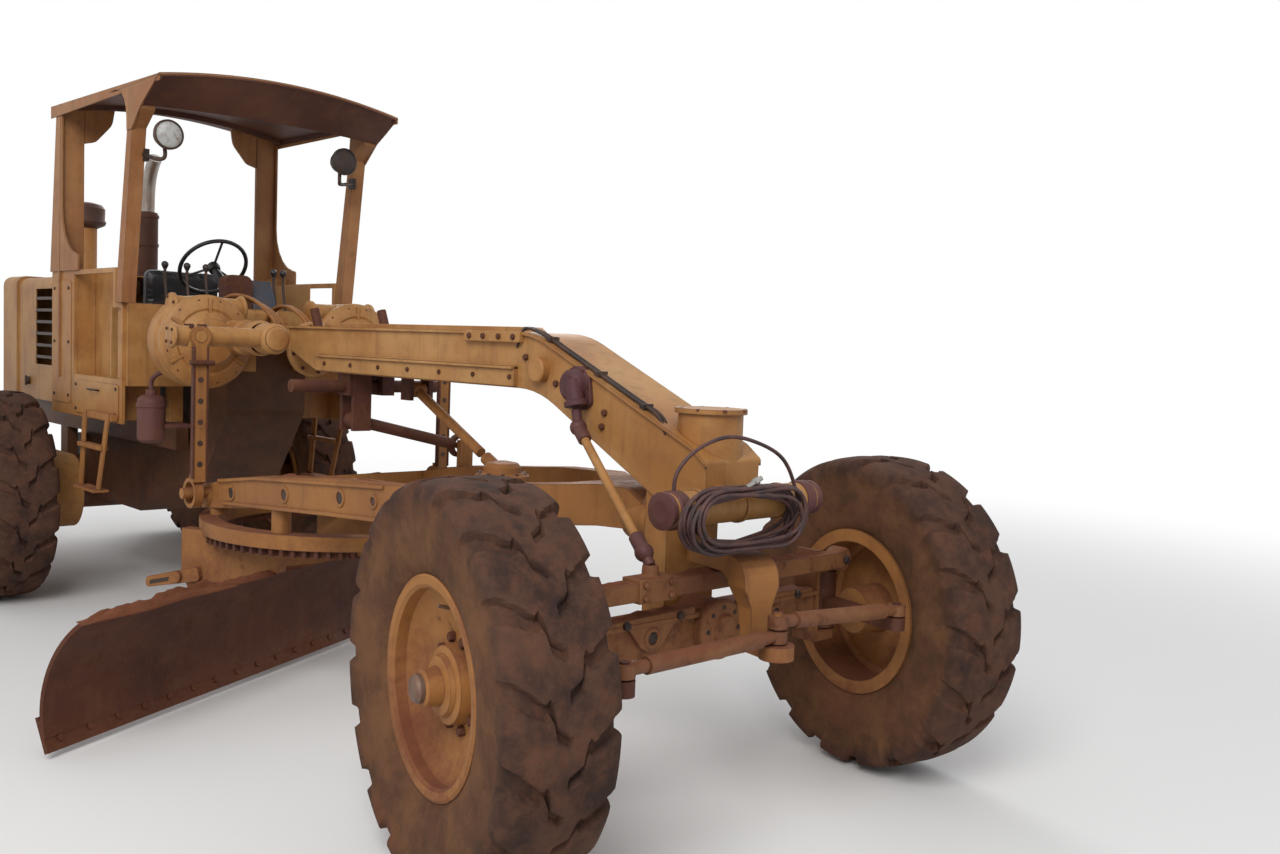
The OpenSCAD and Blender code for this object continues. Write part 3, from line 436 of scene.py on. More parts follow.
def weathered(name, base, faded, roughness, rust, wear, earth_height, earth, upward=0.3, metal=0.0,
              relief=0.6, run=0.35):
    """A worn finish: cloudy fading, brown runs down the sides, rust spots, bare edges and red earth low
    down."""
    made, tree, shader = new_material(name)
    cloudy = ramp(tree, noise(tree, 1.7, 7.0, 0.6), 0.36, 0.64)
    colour = blend_colours(tree, cloudy, base, faded)
    film = ramp(tree, noise(tree, 6.5, 8.0, 0.72), 0.42, 0.80)
    colour = blend_colours(tree, times(tree, film, 0.55), colour, (0.165, 0.066, 0.026, 1))
    runs = ramp(tree, noise(tree, 2.2, 6.0, 0.65, (9.0, 9.0, 0.8)), 0.50, 0.72)
    colour = blend_colours(tree, times(tree, runs, run), colour, (0.120, 0.045, 0.020, 1))
    spots = use_group(tree, RUST, Scale=9.0, Amount=rust)
    colour = blend_colours(tree, spots.outputs["Mask"], colour, spots.outputs["Colour"])
    if wear > 0:
        edge = use_group(tree, EDGE_WEAR, Radius=0.008, Amount=wear)
        colour = blend_colours(tree, edge.outputs["Mask"], colour, (0.085, 0.034, 0.020, 1))
    mud = use_group(tree, RED_EARTH, Height=earth_height, Fade=1.0, Upward=upward, Amount=earth)
    earth_colour = blend_colours(tree, noise(tree, 9.0), EARTH_WET, EARTH_DRY)
    colour = blend_colours(tree, mud.outputs["Mask"], colour, earth_colour)
    rough = plus(tree, roughness, times(tree, spots.outputs["Mask"], 0.25))
    rough = plus(tree, rough, times(tree, mud.outputs["Mask"], 0.3), clamp=True)
    height = plus(tree, spots.outputs["Bump"], times(tree, mud.outputs["Bump"], 1.6))
    height = plus(tree, height, times(tree, noise(tree, 140.0, 3.0), 0.12))
    height = plus(tree, height, times(tree, noise(tree, 4.0, 2.0), 0.5))
    add_relief(tree, shader, height, relief, 0.004)
    tree.links.new(colour, shader.inputs["Base Color"])
    tree.links.new(rough, shader.inputs["Roughness"])
    shader.inputs["Metallic"].default_value = metal
    shader.inputs["Specular IOR Level"].default_value = 0.28
    return made


OCHRE = (0.330, 0.142, 0.038, 1)
OCHRE_FADED = (0.430, 0.225, 0.078, 1)
OCHRE_DULL = (0.270, 0.112, 0.034, 1)
paint = weathered("ochre paint", OCHRE, OCHRE_FADED, roughness=0.50, rust=0.17, wear=0.35,
                  earth_height=0.75, earth=0.02)
paint_low = weathered("muddy ochre paint", OCHRE, OCHRE_DULL, roughness=0.60, rust=0.24, wear=0.5,
                      earth_height=1.15, earth=0.17, upward=0.7)
rusty_steel = weathered("rusty steel", (0.110, 0.038, 0.022, 1), (0.060, 0.022, 0.016, 1), roughness=0.62,
                        rust=0.36, wear=0.0, earth_height=0.9, earth=0.22, metal=0.2)
blade_steel = weathered("blade steel", (0.058, 0.014, 0.007, 1), (0.090, 0.026, 0.011, 1), roughness=0.48,
                        rust=0.32, wear=0.0, earth_height=0.40, earth=0.12, upward=1.2, metal=0.3)
dark_steel = weathered("dark oily steel", (0.026, 0.020, 0.019, 1), (0.050, 0.034, 0.028, 1), roughness=0.5,
                       rust=0.16, wear=0.0, earth_height=0.8, earth=0.0, metal=0.2)
canopy_paint = weathered("canopy paint", (0.275, 0.112, 0.038, 1), (0.350, 0.165, 0.064, 1), roughness=0.55,
                         rust=0.20, wear=0.4, earth_height=0.4, earth=0.0)
rusty_ochre = weathered("rust over ochre", (0.225, 0.094, 0.034, 1), (0.150, 0.058, 0.028, 1),
                        roughness=0.6, rust=0.33, wear=0.4, earth_height=1.15, earth=0.16, upward=0.8)
# Dark brown for the roof's underside and the visor: painted shade, with some rust spots and worn edges on
# it.
painted_shade_brown = weathered("painted shade underside", (0.066, 0.024, 0.016, 1), (0.105, 0.042, 0.026, 1), roughness=0.6,
                   rust=0.20, wear=0.3, earth_height=0.4, earth=0.0)
greasy_paint = weathered("greasy case paint", (0.120, 0.050, 0.020, 1), (0.060, 0.028, 0.016, 1),
                         roughness=0.5, rust=0.28, wear=0.3, earth_height=1.4, earth=0.12)
worn_cap = weathered("worn cap steel", (0.200, 0.130, 0.095, 1), (0.120, 0.062, 0.040, 1), roughness=0.5,
                     rust=0.24, wear=0.3, earth_height=0.6, earth=0.0, metal=0.4)
stack_steel = weathered("heat-browned steel", (0.060, 0.030, 0.024, 1), (0.100, 0.045, 0.030, 1),
                        roughness=0.6, rust=0.3, wear=0.0, earth_height=0.4, earth=0.0, metal=0.3)
bright_steel = weathered("dulled bright steel", (0.42, 0.40, 0.38, 1), (0.30, 0.26, 0.23, 1),
                         roughness=0.34, rust=0.10, wear=0.0, earth_height=0.3, earth=-0.1, metal=0.85,
                         run=0.2)
joint_steel = weathered("purple-brown cast iron", (0.075, 0.030, 0.034, 1), (0.120, 0.048, 0.042, 1),
                        roughness=0.6, rust=0.2, wear=0.0, earth_height=0.8, earth=0.05, metal=0.2)
earth = weathered("red earth", (0.150, 0.046, 0.019, 1), (0.210, 0.080, 0.038, 1), roughness=0.95,
                  rust=-0.2, wear=0.0, earth_height=2.0, earth=0.4, relief=1.0, run=0.0)
slate_paint = weathered("slate blue panel", (0.030, 0.040, 0.062, 1), (0.055, 0.062, 0.078, 1),
                        roughness=0.5, rust=0.05, wear=0.2, earth_height=0.5, earth=-0.1)


def tyre_rubber_finish():
    """Dark worn tread, its own colour by the sidewall attribute, ochre mud on the walls, fine scuffs as
    relief."""
    made, tree, shader = new_material("muddy tyre rubber")
    cloudy = ramp(tree, noise(tree, 5.0, 8.0, 0.7), 0.36, 0.66)
    tread = blend_colours(tree, cloudy, (0.036, 0.021, 0.017, 1), (0.088, 0.044, 0.029, 1))
    wall = blend_colours(tree, cloudy, (0.074, 0.036, 0.020, 1), (0.150, 0.070, 0.032, 1))
    colour = blend_colours(tree, node(tree, "ShaderNodeAttribute",
                                      attribute_name="sidewall").outputs["Fac"], tread, wall)
    dust = ramp(tree, noise(tree, 11.0, 9.0, 0.75), 0.40, 0.72)
    colour = blend_colours(tree, times(tree, dust, 0.55), colour, (0.150, 0.062, 0.034, 1))
    mud = use_group(tree, RED_EARTH, Height=0.55, Fade=0.9, Upward=0.5, Amount=0.16)
    colour = blend_colours(tree, times(tree, mud.outputs["Mask"], 0.8), colour, (0.155, 0.056, 0.028, 1))
    tree.links.new(colour, shader.inputs["Base Color"])
    shader.inputs["Roughness"].default_value = 0.88
    shader.inputs["Specular IOR Level"].default_value = 0.15
    scuffs = noise(tree, 46.0, 9.0, 0.72)
    height = plus(tree, scuffs, times(tree, mud.outputs["Bump"], 1.2))
    add_relief(tree, shader, height, 0.8, 0.004)
    return made


def hose_finish():
    """Dull purple-brown rubber with dust and a fine cloth grain."""
    made, tree, shader = new_material("hose rubber")
    dust = ramp(tree, noise(tree, 14.0), 0.35, 0.7)
    colour = blend_colours(tree, dust, (0.026, 0.011, 0.012, 1), (0.088, 0.032, 0.024, 1))
    tree.links.new(colour, shader.inputs["Base Color"])
    shader.inputs["Roughness"].default_value = 0.62
    add_relief(tree, shader, noise(tree, 420.0, 2.0), 0.3, 0.001)
    return made


def vinyl_finish():
    """Black vinyl with a fine crackle of cells and dust in its hollows."""
    made, tree, shader = new_material("black vinyl")
    place = node(tree, "ShaderNodeTexCoord")
    cells = node(tree, "ShaderNodeTexVoronoi", in_Scale=260.0)
    tree.links.new(place.outputs["Object"], cells.inputs["Vector"])
    dust = ramp(tree, noise(tree, 11.0, 7.0), 0.48, 0.75)
    colour = blend_colours(tree, dust, (0.012, 0.012, 0.014, 1), (0.060, 0.038, 0.028, 1))
    tree.links.new(colour, shader.inputs["Base Color"])
    tree.links.new(plus(tree, 0.42, times(tree, dust, 0.3)), shader.inputs["Roughness"])
    add_relief(tree, shader, cells.outputs["Distance"], 0.25, 0.001)
    return made


def lamp_glass_finish():
    """Ribbed, dusty lamp glass: pale, glossy, with a lens pattern as relief."""
    made, tree, shader = new_material("lamp glass")
    dust = ramp(tree, noise(tree, 30.0, 5.0), 0.4, 0.8)
    colour = blend_colours(tree, dust, (0.42, 0.42, 0.40, 1), (0.22, 0.16, 0.12, 1))
    tree.links.new(colour, shader.inputs["Base Color"])
    shader.inputs["Roughness"].default_value = 0.12
    place = node(tree, "ShaderNodeTexCoord")
    ribs = node(tree, "ShaderNodeTexWave", bands_direction="Y", in_Scale=55.0)
    tree.links.new(place.outputs["Object"], ribs.inputs["Vector"])
    add_relief(tree, shader, ribs.outputs["Fac"], 0.4, 0.002)
    return made


tyre_rubber = tyre_rubber_finish()
hose_rubber = hose_finish()
vinyl = vinyl_finish()
lamp_glass = lamp_glass_finish()

# The hank of hydraulic hose over the nose, the only cord

HOSE_D = 0.014
HANK_TURNS = 13
HANK_STEPS = 48
HANK_END_R = 0.092
HANK_STRAIGHT = 0.200
HANK_DRIFT = 0.014


def hank_turns():
    """Turns of a long loop: each half runs straight for three fifths and then round a half circle. Its
    size, tilt and distance from the nose drift as slow sines of the count of turns."""
    low, high = (np.array(corner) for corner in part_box("hose_hank"))
    middle = (low + high) / 2
    s = np.linspace(0, HANK_TURNS, HANK_TURNS * HANK_STEPS)
    end_r = HANK_END_R + HANK_DRIFT * np.sin(2.3 * s)
    straight = HANK_STRAIGHT + 0.016 * np.cos(1.7 * s)
    half = (2 * s) % 1
    way = 1 - 2 * np.floor((2 * s) % 2)
    run, bend = np.clip(half / 0.6, 0, 1), np.clip((half - 0.6) / 0.4, 0, 1) * math.pi
    y = way * (straight * (2 * run - 1) + end_r * np.sin(bend))
    z = way * end_r * np.cos(bend)
    tilt = 5.0 * (HANK_END_R + 0.016 - end_r) * np.sin(1.9 * s + 0.5)
    x = low[0] + 0.5 * HOSE_D + 0.004 + (high[0] - low[0] - HOSE_D - 0.008) * (0.5 - 0.5 * np.cos(0.62 * s))
    across, up = y * np.cos(tilt) - z * np.sin(tilt), y * np.sin(tilt) + z * np.cos(tilt)
    return np.stack([x, middle[1] + across, middle[2] + up], -1)


def hose_route():
    """From a port on the nose cylinder the hose arches over into the turns; its last end rises a little
    above them."""
    turns = hank_turns()
    low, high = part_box("front_cylinder")
    port = np.array([high[0] - 0.06, low[1] + 0.030, high[2] - 0.01])
    first = int(0.40 * HANK_STEPS)
    arch = [port, port + (0.004, 0.012, 0.080), (3.500, -0.295, 1.385), (3.520, -0.165, 1.425),
            (3.536, -0.025, 1.400), (3.546, 0.095, 1.345), (3.548, 0.163, 1.255)]
    start = smooth_path(arch + [turns[first], turns[first + 5]], 90)
    last = turns[-1]
    tail = smooth_path([last, last + (0, 0.060, 0.002), last + (0, 0.130, 0.014),
                        last + (-0.005, 0.215, 0.046)], 12)
    route = np.concatenate([start[:-1], turns[first + 5:-1], tail])
    weights = np.hanning(11)[1:-1] / np.hanning(11).sum()
    padded = np.concatenate([np.repeat(route[:1], 4, 0), route, np.repeat(route[-1:], 4, 0)])
    return np.stack([np.convolve(padded[:, k], weights, "valid") for k in range(3)], -1)


def add_hose_hank():
    """The hose is a tube along the hank's route, with a pale fitting on its free end."""
    route = hose_route()
    hank = new_piece("hose_hank_hose", [tube(route, HOSE_D / 2, 10)], hose_rubber)
    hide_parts("hose_hank")
    way = route[-1] - route[-3]
    way = way / np.linalg.norm(way)
    fitting = new_piece("hose_fitting", [lathe([(0, -0.030), (0.0105, -0.030), (0.0105, 0.012),
                                                (0.014, 0.014), (0.014, 0.034), (0.009, 0.038),
                                                (0.009, 0.056), (0, 0.056)], route[-1], way, 12)],
                        bright_steel)


add_hose_hank()

# Wheels

TYRE_R = 0.650
TYRE_HALF_W = 0.175
LUGS = 17
LUG_H = 0.026
LUG_COLUMNS = 28
BEAD_R = 0.3205
# Half of the tyre's section between the lugs, from the tread's middle to the bead: (across, radius)
TYRE_SECTION = [(0, TYRE_R - LUG_H), (0.06, TYRE_R - LUG_H - 0.002), (0.143, TYRE_R - LUG_H - 0.012),
                (0.166, 0.590), (0.1745, 0.560), (0.1735, 0.525), (0.172, 0.470), (0.163, 0.410),
                (0.148, 0.368), (0.131, 0.342), (0.116, BEAD_R)]
# Round ribs on the sidewall: (radius, height, width)
WALL_RIBS = ((0.478, 0.004, 0.008), (0.375, 0.003, 0.006))
TYRE_LINER = [(0.095, BEAD_R), (0.120, 0.370), (0.145, 0.470), (0.118, 0.560), (0, 0.585)]


def tread_sweep(across):
    """How far a groove has turned at a distance from the middle, in lug steps: a slant with one quick hook
    in it."""
    slant = 0.50 * across / TYRE_HALF_W
    return slant + 0.26 * step(across, 0.040, 0.054) - 0.10 * step(across, 0.062, 0.074)


def tyre_skin():
    """A height field on a ring: the section gives radius and width by row, and each row's columns turn with
    the sweep. A lug stands where the column is further than the groove's half width from a whole step; the
    other half of the tread is half a step on. Gives (across, radius, turn) as arrays."""
    spread = np.concatenate([np.linspace(0, 2, 15)[:-1], np.linspace(2, 4, 7)[:-1], np.linspace(4, 10, 13)])
    half = smooth_path(TYRE_SECTION, 401)
    half = np.stack([np.interp(spread, np.linspace(0, 10, 401), half[:, k]) for k in range(2)], -1)
    tangent = np.gradient(half, axis=0)
    normal = np.stack([-tangent[:, 1], tangent[:, 0]], -1)
    normal /= np.linalg.norm(normal, axis=1, keepdims=True)
    columns = LUGS * LUG_COLUMNS
    phase = np.arange(columns) / LUG_COLUMNS
    sections = []
    for side in (1, -1):
        away = np.abs((phase + 0.25 * (1 - side) + 0.5) % 1 - 0.5)[None]
        groove = 0.045 + 0.085 * step(half[:, :1], 0.03, TYRE_HALF_W)
        lug = step(away, groove, groove + 0.040) * step(half[:, 1:], 0.540, 0.612)
        rib = sum(high * np.exp(-((half[:, 1:] - at) / wide) ** 2) for at, high, wide in WALL_RIBS)
        height = LUG_H * lug * (0.86 + 0.14 * step(half[:, :1], 0.0, 0.06)) + rib
        across = side * (half[:, :1] + normal[:, :1] * height)
        radius = half[:, 1:] + normal[:, 1:] * height
        turn = (phase[None] + tread_sweep(half[:, :1])) * TAU / LUGS
        sections.append(np.stack([across, np.minimum(radius, TYRE_R), turn + 0 * across], -1))
    liner = np.array(TYRE_LINER)
    liner = np.concatenate([liner, (liner * (-1, 1))[-2::-1]])
    sweep = tread_sweep(np.array(TYRE_HALF_W))
    inside = np.stack([liner[:, :1] + 0 * phase, liner[:, 1:] + 0 * phase,
                       (phase + sweep) * TAU / LUGS + 0 * liner[:, :1]], -1)
    return np.concatenate([sections[1][:0:-1], sections[0], inside])


RIM_W = 0.260
DISC = 0.060
FLANGE_R = 0.344
BEAD_SEAT_R = 0.319
HUB_BORE_R = 0.0383
# Section of a rim with its disc and hub: (radius, distance outwards), a closed loop
RIM_SECTION = [(FLANGE_R, -RIM_W / 2 - 0.012), (FLANGE_R, -RIM_W / 2 + 0.002),
               (BEAD_SEAT_R, -RIM_W / 2 + 0.012), (BEAD_SEAT_R, RIM_W / 2 - 0.012),
               (FLANGE_R - 0.006, RIM_W / 2 - 0.006), (FLANGE_R + 0.004, RIM_W / 2 + 0.002),
               (FLANGE_R + 0.004, RIM_W / 2 + 0.010), (FLANGE_R - 0.004, RIM_W / 2 + 0.016),
               (BEAD_SEAT_R - 0.004, RIM_W / 2 + 0.012), (BEAD_SEAT_R - 0.014, RIM_W / 2 + 0.002),
               (BEAD_SEAT_R - 0.014, DISC + 0.034), (BEAD_SEAT_R - 0.034, DISC + 0.014),
               (0.225, DISC - 0.002), (0.160, DISC - 0.022), (0.128, DISC - 0.018), (0.122, DISC + 0.026),
               (0.098, DISC + 0.032), (0.092, DISC + 0.048), (0.062, DISC + 0.054), (0.057, DISC + 0.100),
               (0.048, DISC + 0.108), (0.0, DISC + 0.110), (0.0, DISC + 0.085), (HUB_BORE_R, DISC + 0.085),
               (HUB_BORE_R, -0.130), (0.095, -0.130), (0.105, DISC - 0.052), (0.150, DISC - 0.040),
               (BEAD_SEAT_R - 0.050, DISC - 0.006), (BEAD_SEAT_R - 0.028, DISC - 0.020),
               (BEAD_SEAT_R - 0.028, -RIM_W / 2 - 0.012)]
WHEEL_NUTS = 10
NUT_RING_R = 0.145


def wheel_joints():
    """Each rolling wheel: its body's name, centre, direction outwards and direction forwards."""
    for joint in frame["record"]["behaviour"]["joints"]:
        if joint["name"].endswith("_roll"):
            side = -1 if joint["child"].endswith("right") else 1
            outward = side * np.array(joint["axis"])
            yield joint["child"], np.array(joint["pos_m"]), outward, side * np.cross(outward, UP)


def add_wheel(body, centre, outward, forward):
    """The tyre's rows are laid round the axle: centre + across * outward + radius * (cos forward + sin
    up)."""
    name = body[len("wheel_"):]
    across, radius, turn = np.moveaxis(TYRE_SKIN, -1, 0)[..., None]
    points = centre + across * outward + radius * (np.cos(turn) * forward + np.sin(turn) * np.array(UP))
    faces = grid_faces(TYRE_SKIN.shape[0], TYRE_SKIN.shape[1], wrap_rows=True, wrap_cols=True)
    tyre = new_piece("lugged_tyre_" + name, [(points, faces)], tyre_rubber, body)
    reach = np.hypot(radius * np.cos(turn), radius * np.sin(turn)).reshape(-1)
    sidewall = tyre.data.attributes.new("sidewall", "FLOAT", "POINT")
    sidewall.data.foreach_set("value", 1 - step(reach, 0.545, 0.605))
    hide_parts("tyre_" + name)
    rim = new_piece("wheel_rim_" + name, [lathe(RIM_SECTION, centre, outward, 72, closed=True)],
                    paint_low, body)
    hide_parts("rim_" + name)
    nut_turn = np.arange(WHEEL_NUTS)[:, None] * TAU / WHEEL_NUTS
    around = np.cos(nut_turn) * forward + np.sin(nut_turn) * np.array(UP)
    nut_at = centre + outward * (DISC - 0.020) + NUT_RING_R * around
    new_piece("wheel_nuts_" + name, [bolt_heads(nut_at, outward, 0.017, 0.020)], rusty_steel, body)
    cap = lathe([(0, 0.108), (0.046, 0.108), (0.046, 0.122), (0.038, 0.132), (0.020, 0.137), (0, 0.138)],
                centre + outward * DISC, outward, 32)
    valve_at = centre + outward * (DISC + 0.012) + 0.24 * np.array(UP)
    valve = rod(valve_at, valve_at + outward * 0.045 + np.array((0, 0, 0.012)), 0.006, 10)
    new_piece("hub_cap_" + name, [cap, valve], worn_cap, body)


TYRE_SKIN = tyre_skin()
for wheel in wheel_joints():
    add_wheel(*wheel)

# Canopy over the operator

CANOPY_HALF_W = 0.720
CANOPY_FRONT = -0.060
CANOPY_REAR = -1.780
EAVE_FRONT = 3.050
EAVE_RISE = 0.032
CROWN = 0.072
SHEET_T = 0.008
SILL = 2.100
VISOR_BACK = 0.240
VISOR_DROP = 0.135


def eave(x):
    """Height of the roof's eave at x: it climbs a little towards the rear."""
    return EAVE_FRONT + EAVE_RISE * (CANOPY_FRONT - x) / (CANOPY_FRONT - CANOPY_REAR)


def crown(y):
    """Height of the roof over its eave: the crown less its share of the square of the distance across."""
    return CROWN * (1 - (y / CANOPY_HALF_W) ** 2)


def roof_shell(drop=0.0, skirt_h=0.036):
    """A section across, skirt, eave, arc, eave, skirt and back underneath, carried from front to rear with
    the eave's climb and let down by the drop; the skirt's depth doubles on the way."""
    along = np.linspace(0, 1, 9)[:, None]
    x = CANOPY_FRONT + (CANOPY_REAR - CANOPY_FRONT) * along
    y = np.linspace(-CANOPY_HALF_W, CANOPY_HALF_W, 41)
    y = y * (1 - drop / CANOPY_HALF_W)
    inner = y * (1 - SHEET_T / CANOPY_HALF_W)
    skirt = skirt_h * (1 + along)
    top = np.concatenate([np.full((9, 1), y[0]), np.tile(y, (9, 1)), np.full((9, 1), y[-1])], 1)
    top_z = eave(x) + np.concatenate([-skirt, np.tile(crown(y), (9, 1)), -skirt], 1)
    low = np.concatenate([np.full((9, 1), inner[-1]), np.tile(inner[::-1], (9, 1)),
                          np.full((9, 1), inner[0])], 1)
    low_z = eave(x) + np.concatenate([-skirt, np.tile(crown(y[::-1]) - SHEET_T, (9, 1)), -skirt], 1)
    across, up = np.concatenate([top, low], 1), np.concatenate([top_z, low_z], 1) - drop
    points = np.stack([np.broadcast_to(x, across.shape), across, up], -1)
    n = across.shape[1]
    ends = [[row * n + k for k in range(n)] for row in (0, 8)]
    return points.reshape(-1, 3), grid_faces(9, n, wrap_cols=True) + ends


def visor_sheet():
    """A sheet from the roof's front edge down and back: its upper edge follows the crown, its lower edge a
    third of it."""
    y = np.linspace(-CANOPY_HALF_W + 0.002, CANOPY_HALF_W - 0.002, 41)[None]
    v = np.linspace(0, 1, 7)[:, None]
    x = CANOPY_FRONT - VISOR_BACK * v + 0 * y
    z = EAVE_FRONT - VISOR_DROP * v + crown(y) * (1 - 0.67 * v) - 0.012 * np.sin(math.pi * v)
    front = np.stack([x, y + 0 * x, z], -1)
    back = front + (-SHEET_T, 0, 0.004)
    loop = np.concatenate([front, back[::-1]])
    rows, cols = loop.shape[:2]
    ends = [[r * cols + c for r in range(rows)] for c in (0, cols - 1)]
    return loop.reshape(-1, 3), grid_faces(rows, cols, wrap_rows=True) + ends


def roof_rib(x):
    """A shallow arch under the roof across the machine at x."""
    y = np.linspace(-CANOPY_HALF_W + 0.01, CANOPY_HALF_W - 0.01, 31)
    top = np.stack([y, eave(x) + crown(y) - SHEET_T], -1)
    low = np.stack([y[::-1], eave(x) + crown(y[::-1]) - 0.045], -1)
    return plate(np.concatenate([top, low]).tolist(), x - 0.04, x, "x")


def canopy_posts(side):
    """Front post leaning to the roof with its gusset; rear post as a plate across with a flange that flares
    at the sill."""
    front = plate([(-0.650, 1.860), (-0.560, 1.860), (-0.553, 1.940), (-0.430, 2.815), (-0.305, 2.900),
                   (-0.305, 3.048), (-0.480, 3.048), (-0.500, 2.815), (-0.640, 1.960)],
                  *on_side(side, 0.640, 0.719))
    gusset = plate([(-0.058, 3.044), (-0.300, 2.912), (-0.430, 2.800), (-0.500, 2.800),
                    (-0.512, 3.045, 0.17), (-0.760, 3.038)], *on_side(side, 0.712, 0.7225))
    top = eave(-1.64)
    flange = plate([(-1.808, SILL - 0.045), (-1.700, top - 0.012), (-1.600, top - 0.012),
                    (-1.600, SILL + 0.09, 0.30), (-1.300, SILL + 0.050, 0.02), (-1.300, SILL - 0.045)],
                   *on_side(side, 0.7005, 0.712))
    web = plate([(side * 0.570, SILL - 0.70), (side * 0.714, SILL - 0.70), (side * 0.714, top + 0.004),
                 (side * 0.570, top + 0.030)], -1.655, -1.625, "x")
    knee = plate([(side * 0.575, 2.860), (side * 0.575, top + 0.030), (side * 0.380, top + 0.045),
                  (side * 0.400, 3.000, 0.10), (side * 0.500, 2.880, 0.06)], -1.650, -1.630, "x")
    return [front, gusset, flange, web, knee]


def add_canopy():
    """The roof and posts as one piece; under the roof a lining with two ribs, and in front the visor, both
    in dark brown as painted shade."""
    parts = [roof_shell()]
    for side, _ in SIDES:
        parts += canopy_posts(side)
    canopy = new_piece("canopy_roof", parts, canopy_paint, bevel=0.002)
    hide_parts("canopy")
    # The lining and its ribs are a dark sheet under the roof, and the visor is dark too: painted shade.
    new_piece("canopy_underside_painted_shade", [roof_shell(0.0085, 0.020), roof_rib(-0.68), roof_rib(-1.53)],
              painted_shade_brown)
    new_piece("canopy_visor", [visor_sheet()], painted_shade_brown)


add_canopy()

# Lamps under the canopy

LAMP_AT = ((-0.245, -0.605, 2.765, "right"), (-0.245, 0.450, 2.765, "left"))
LAMP_BOWL = [(0, -0.085), (0.026, -0.085), (0.034, -0.078), (0.060, -0.030), (0.070, 0.012), (0.076, 0.018),
             (0.080, 0.024), (0.080, 0.042), (0.073, 0.046), (0.068, 0.040), (0, 0.040)]


def add_head_lamps():
    """Each lamp is a turned bowl, rim and lens facing forward, on a bent rod from the post; the left lens
    is blacked out."""
    bowls = []
    for x, y, z, name in LAMP_AT:
        side = math.copysign(1, y)
        bowls.append(lathe(LAMP_BOWL, (x, y, z), AHEAD, 40))
        post = np.array([-0.445, side * 0.648, z - 0.090])
        bowls.append(tube(smooth_path([post, (x - 0.055, y + side * 0.03, z - 0.125),
                                       (x - 0.02, y, z - 0.115), (x - 0.02, y, z - 0.05)], 24), 0.011))
        bowls.append(side_slab(side, (-0.470, -0.420), (0.626, 0.650), (z - 0.125, z - 0.06)))
        lens = lathe([(0, 0.036), (0.069, 0.036), (0.069, 0.041), (0.055, 0.049), (0.030, 0.054),
                      (0, 0.056)], (x, y, z), AHEAD, 40)
        new_piece("lamp_lens_" + name, [lens], lamp_glass if side < 0 else dark_steel)
    lamps = new_piece("head_lamp_bowls", bowls, dark_steel)
    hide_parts("head_lamps")


add_head_lamps()

# Neck, beam and nose

AXLE_X = 3.290
AXLE_Z = 0.705
BEAM_SIDE = 0.140
NECK_TOP = [(2.34, 1.770), (2.41, 1.758), (2.50, 1.727), (2.60, 1.684), (2.80, 1.600), (3.00, 1.515),
            (3.13, 1.461)]


def add_beam_fittings():
    """Folded cover and lip along the side, pad ahead of it, rib along the top, pipes down the neck with
    their clips."""
    cover = plate([(0.620, 1.536), (0.620, 1.600, 0.02), (0.645, 1.625), (2.305, 1.625), (2.305, 1.536)],
                  -0.162, -0.139)
    lip = slab((0.650, -0.176, 1.607), (2.305, -0.139, 1.619))
    pad = slab((1.946, -0.166, 1.719), (2.340, -0.139, 1.764))
    rib = plate([(0.600, 1.764), (0.640, 1.787), (2.230, 1.787), (2.270, 1.764)], -0.045, 0.045)
    swell = lathe([(0, 0), (0.150, 0), (0.150, 0.022), (0.138, 0.030), (0, 0.030)], (0.275, 0, 1.640),
                  AHEAD)
    boss = lathe([(0, -0.01), (0.052, -0.01), (0.052, 0.034), (0.044, 0.040), (0, 0.040)],
                 (2.465, -BEAM_SIDE, 1.611), RIGHTWARD)
    web = plate([(3.100, 1.158), (2.905, 1.263), (2.945, 1.363), (3.155, 1.183)], -0.028, 0.028)
    new_piece("beam_cover", [cover, lip, pad, rib, swell, boss, web], paint, bevel=0.0025)
    cover_bolts = [(x, -0.162, 1.575) for x in np.arange(0.72, 2.30, 0.26)]
    pad_bolts = [(x, -0.166, 1.742) for x in (1.99, 2.09, 2.20, 2.30)]
    neck_bolts = [(x, -BEAM_SIDE, z) for x, z in ((2.857, 1.462), (2.845, 1.408), (2.36, 1.66),
                                                  (2.56, 1.56))]
    swell_bolts = ring_places((0.305, 0, 1.640), "x", 0.125, 8, 0.2)
    new_piece("beam_bolts", [bolt_heads(cover_bolts, RIGHTWARD, 0.011, 0.009),
                             bolt_heads(pad_bolts, RIGHTWARD, 0.013, 0.010),
                             bolt_heads(neck_bolts, RIGHTWARD, 0.014, 0.013),
                             bolt_heads(swell_bolts, AHEAD, 0.011, 0.010)], rusty_steel)
    stubs = [rod((0.480, -0.070, 1.755), (0.455, -0.085, 1.860), 0.024),
             rod((0.880, 0.095, 1.755), (0.855, 0.080, 1.860), 0.024)]
    new_piece("beam_stub_posts", stubs, rusty_steel)
    way = np.array(NECK_TOP)
    pipes = []
    for y in (-0.128, -0.108):
        line = np.column_stack([way[:, 0], np.full(len(way), y), way[:, 1] + 0.010])
        start = [(2.30, -BEAM_SIDE - 0.004, 1.700), (2.325, -BEAM_SIDE + 0.002, 1.765)]
        pipes.append(tube(smooth_path(np.concatenate([start, line, [(3.190, y - 0.01, 1.405)]]), 90),
                          0.0065, 10))
    clips = [slab((x - 0.012, -0.143, z - 0.004), (x + 0.012, -0.092, z + 0.020))
             for x, z in ((2.50, 1.727), (2.80, 1.600), (3.06, 1.489))]
    new_piece("neck_pipes", pipes + clips, dark_steel)


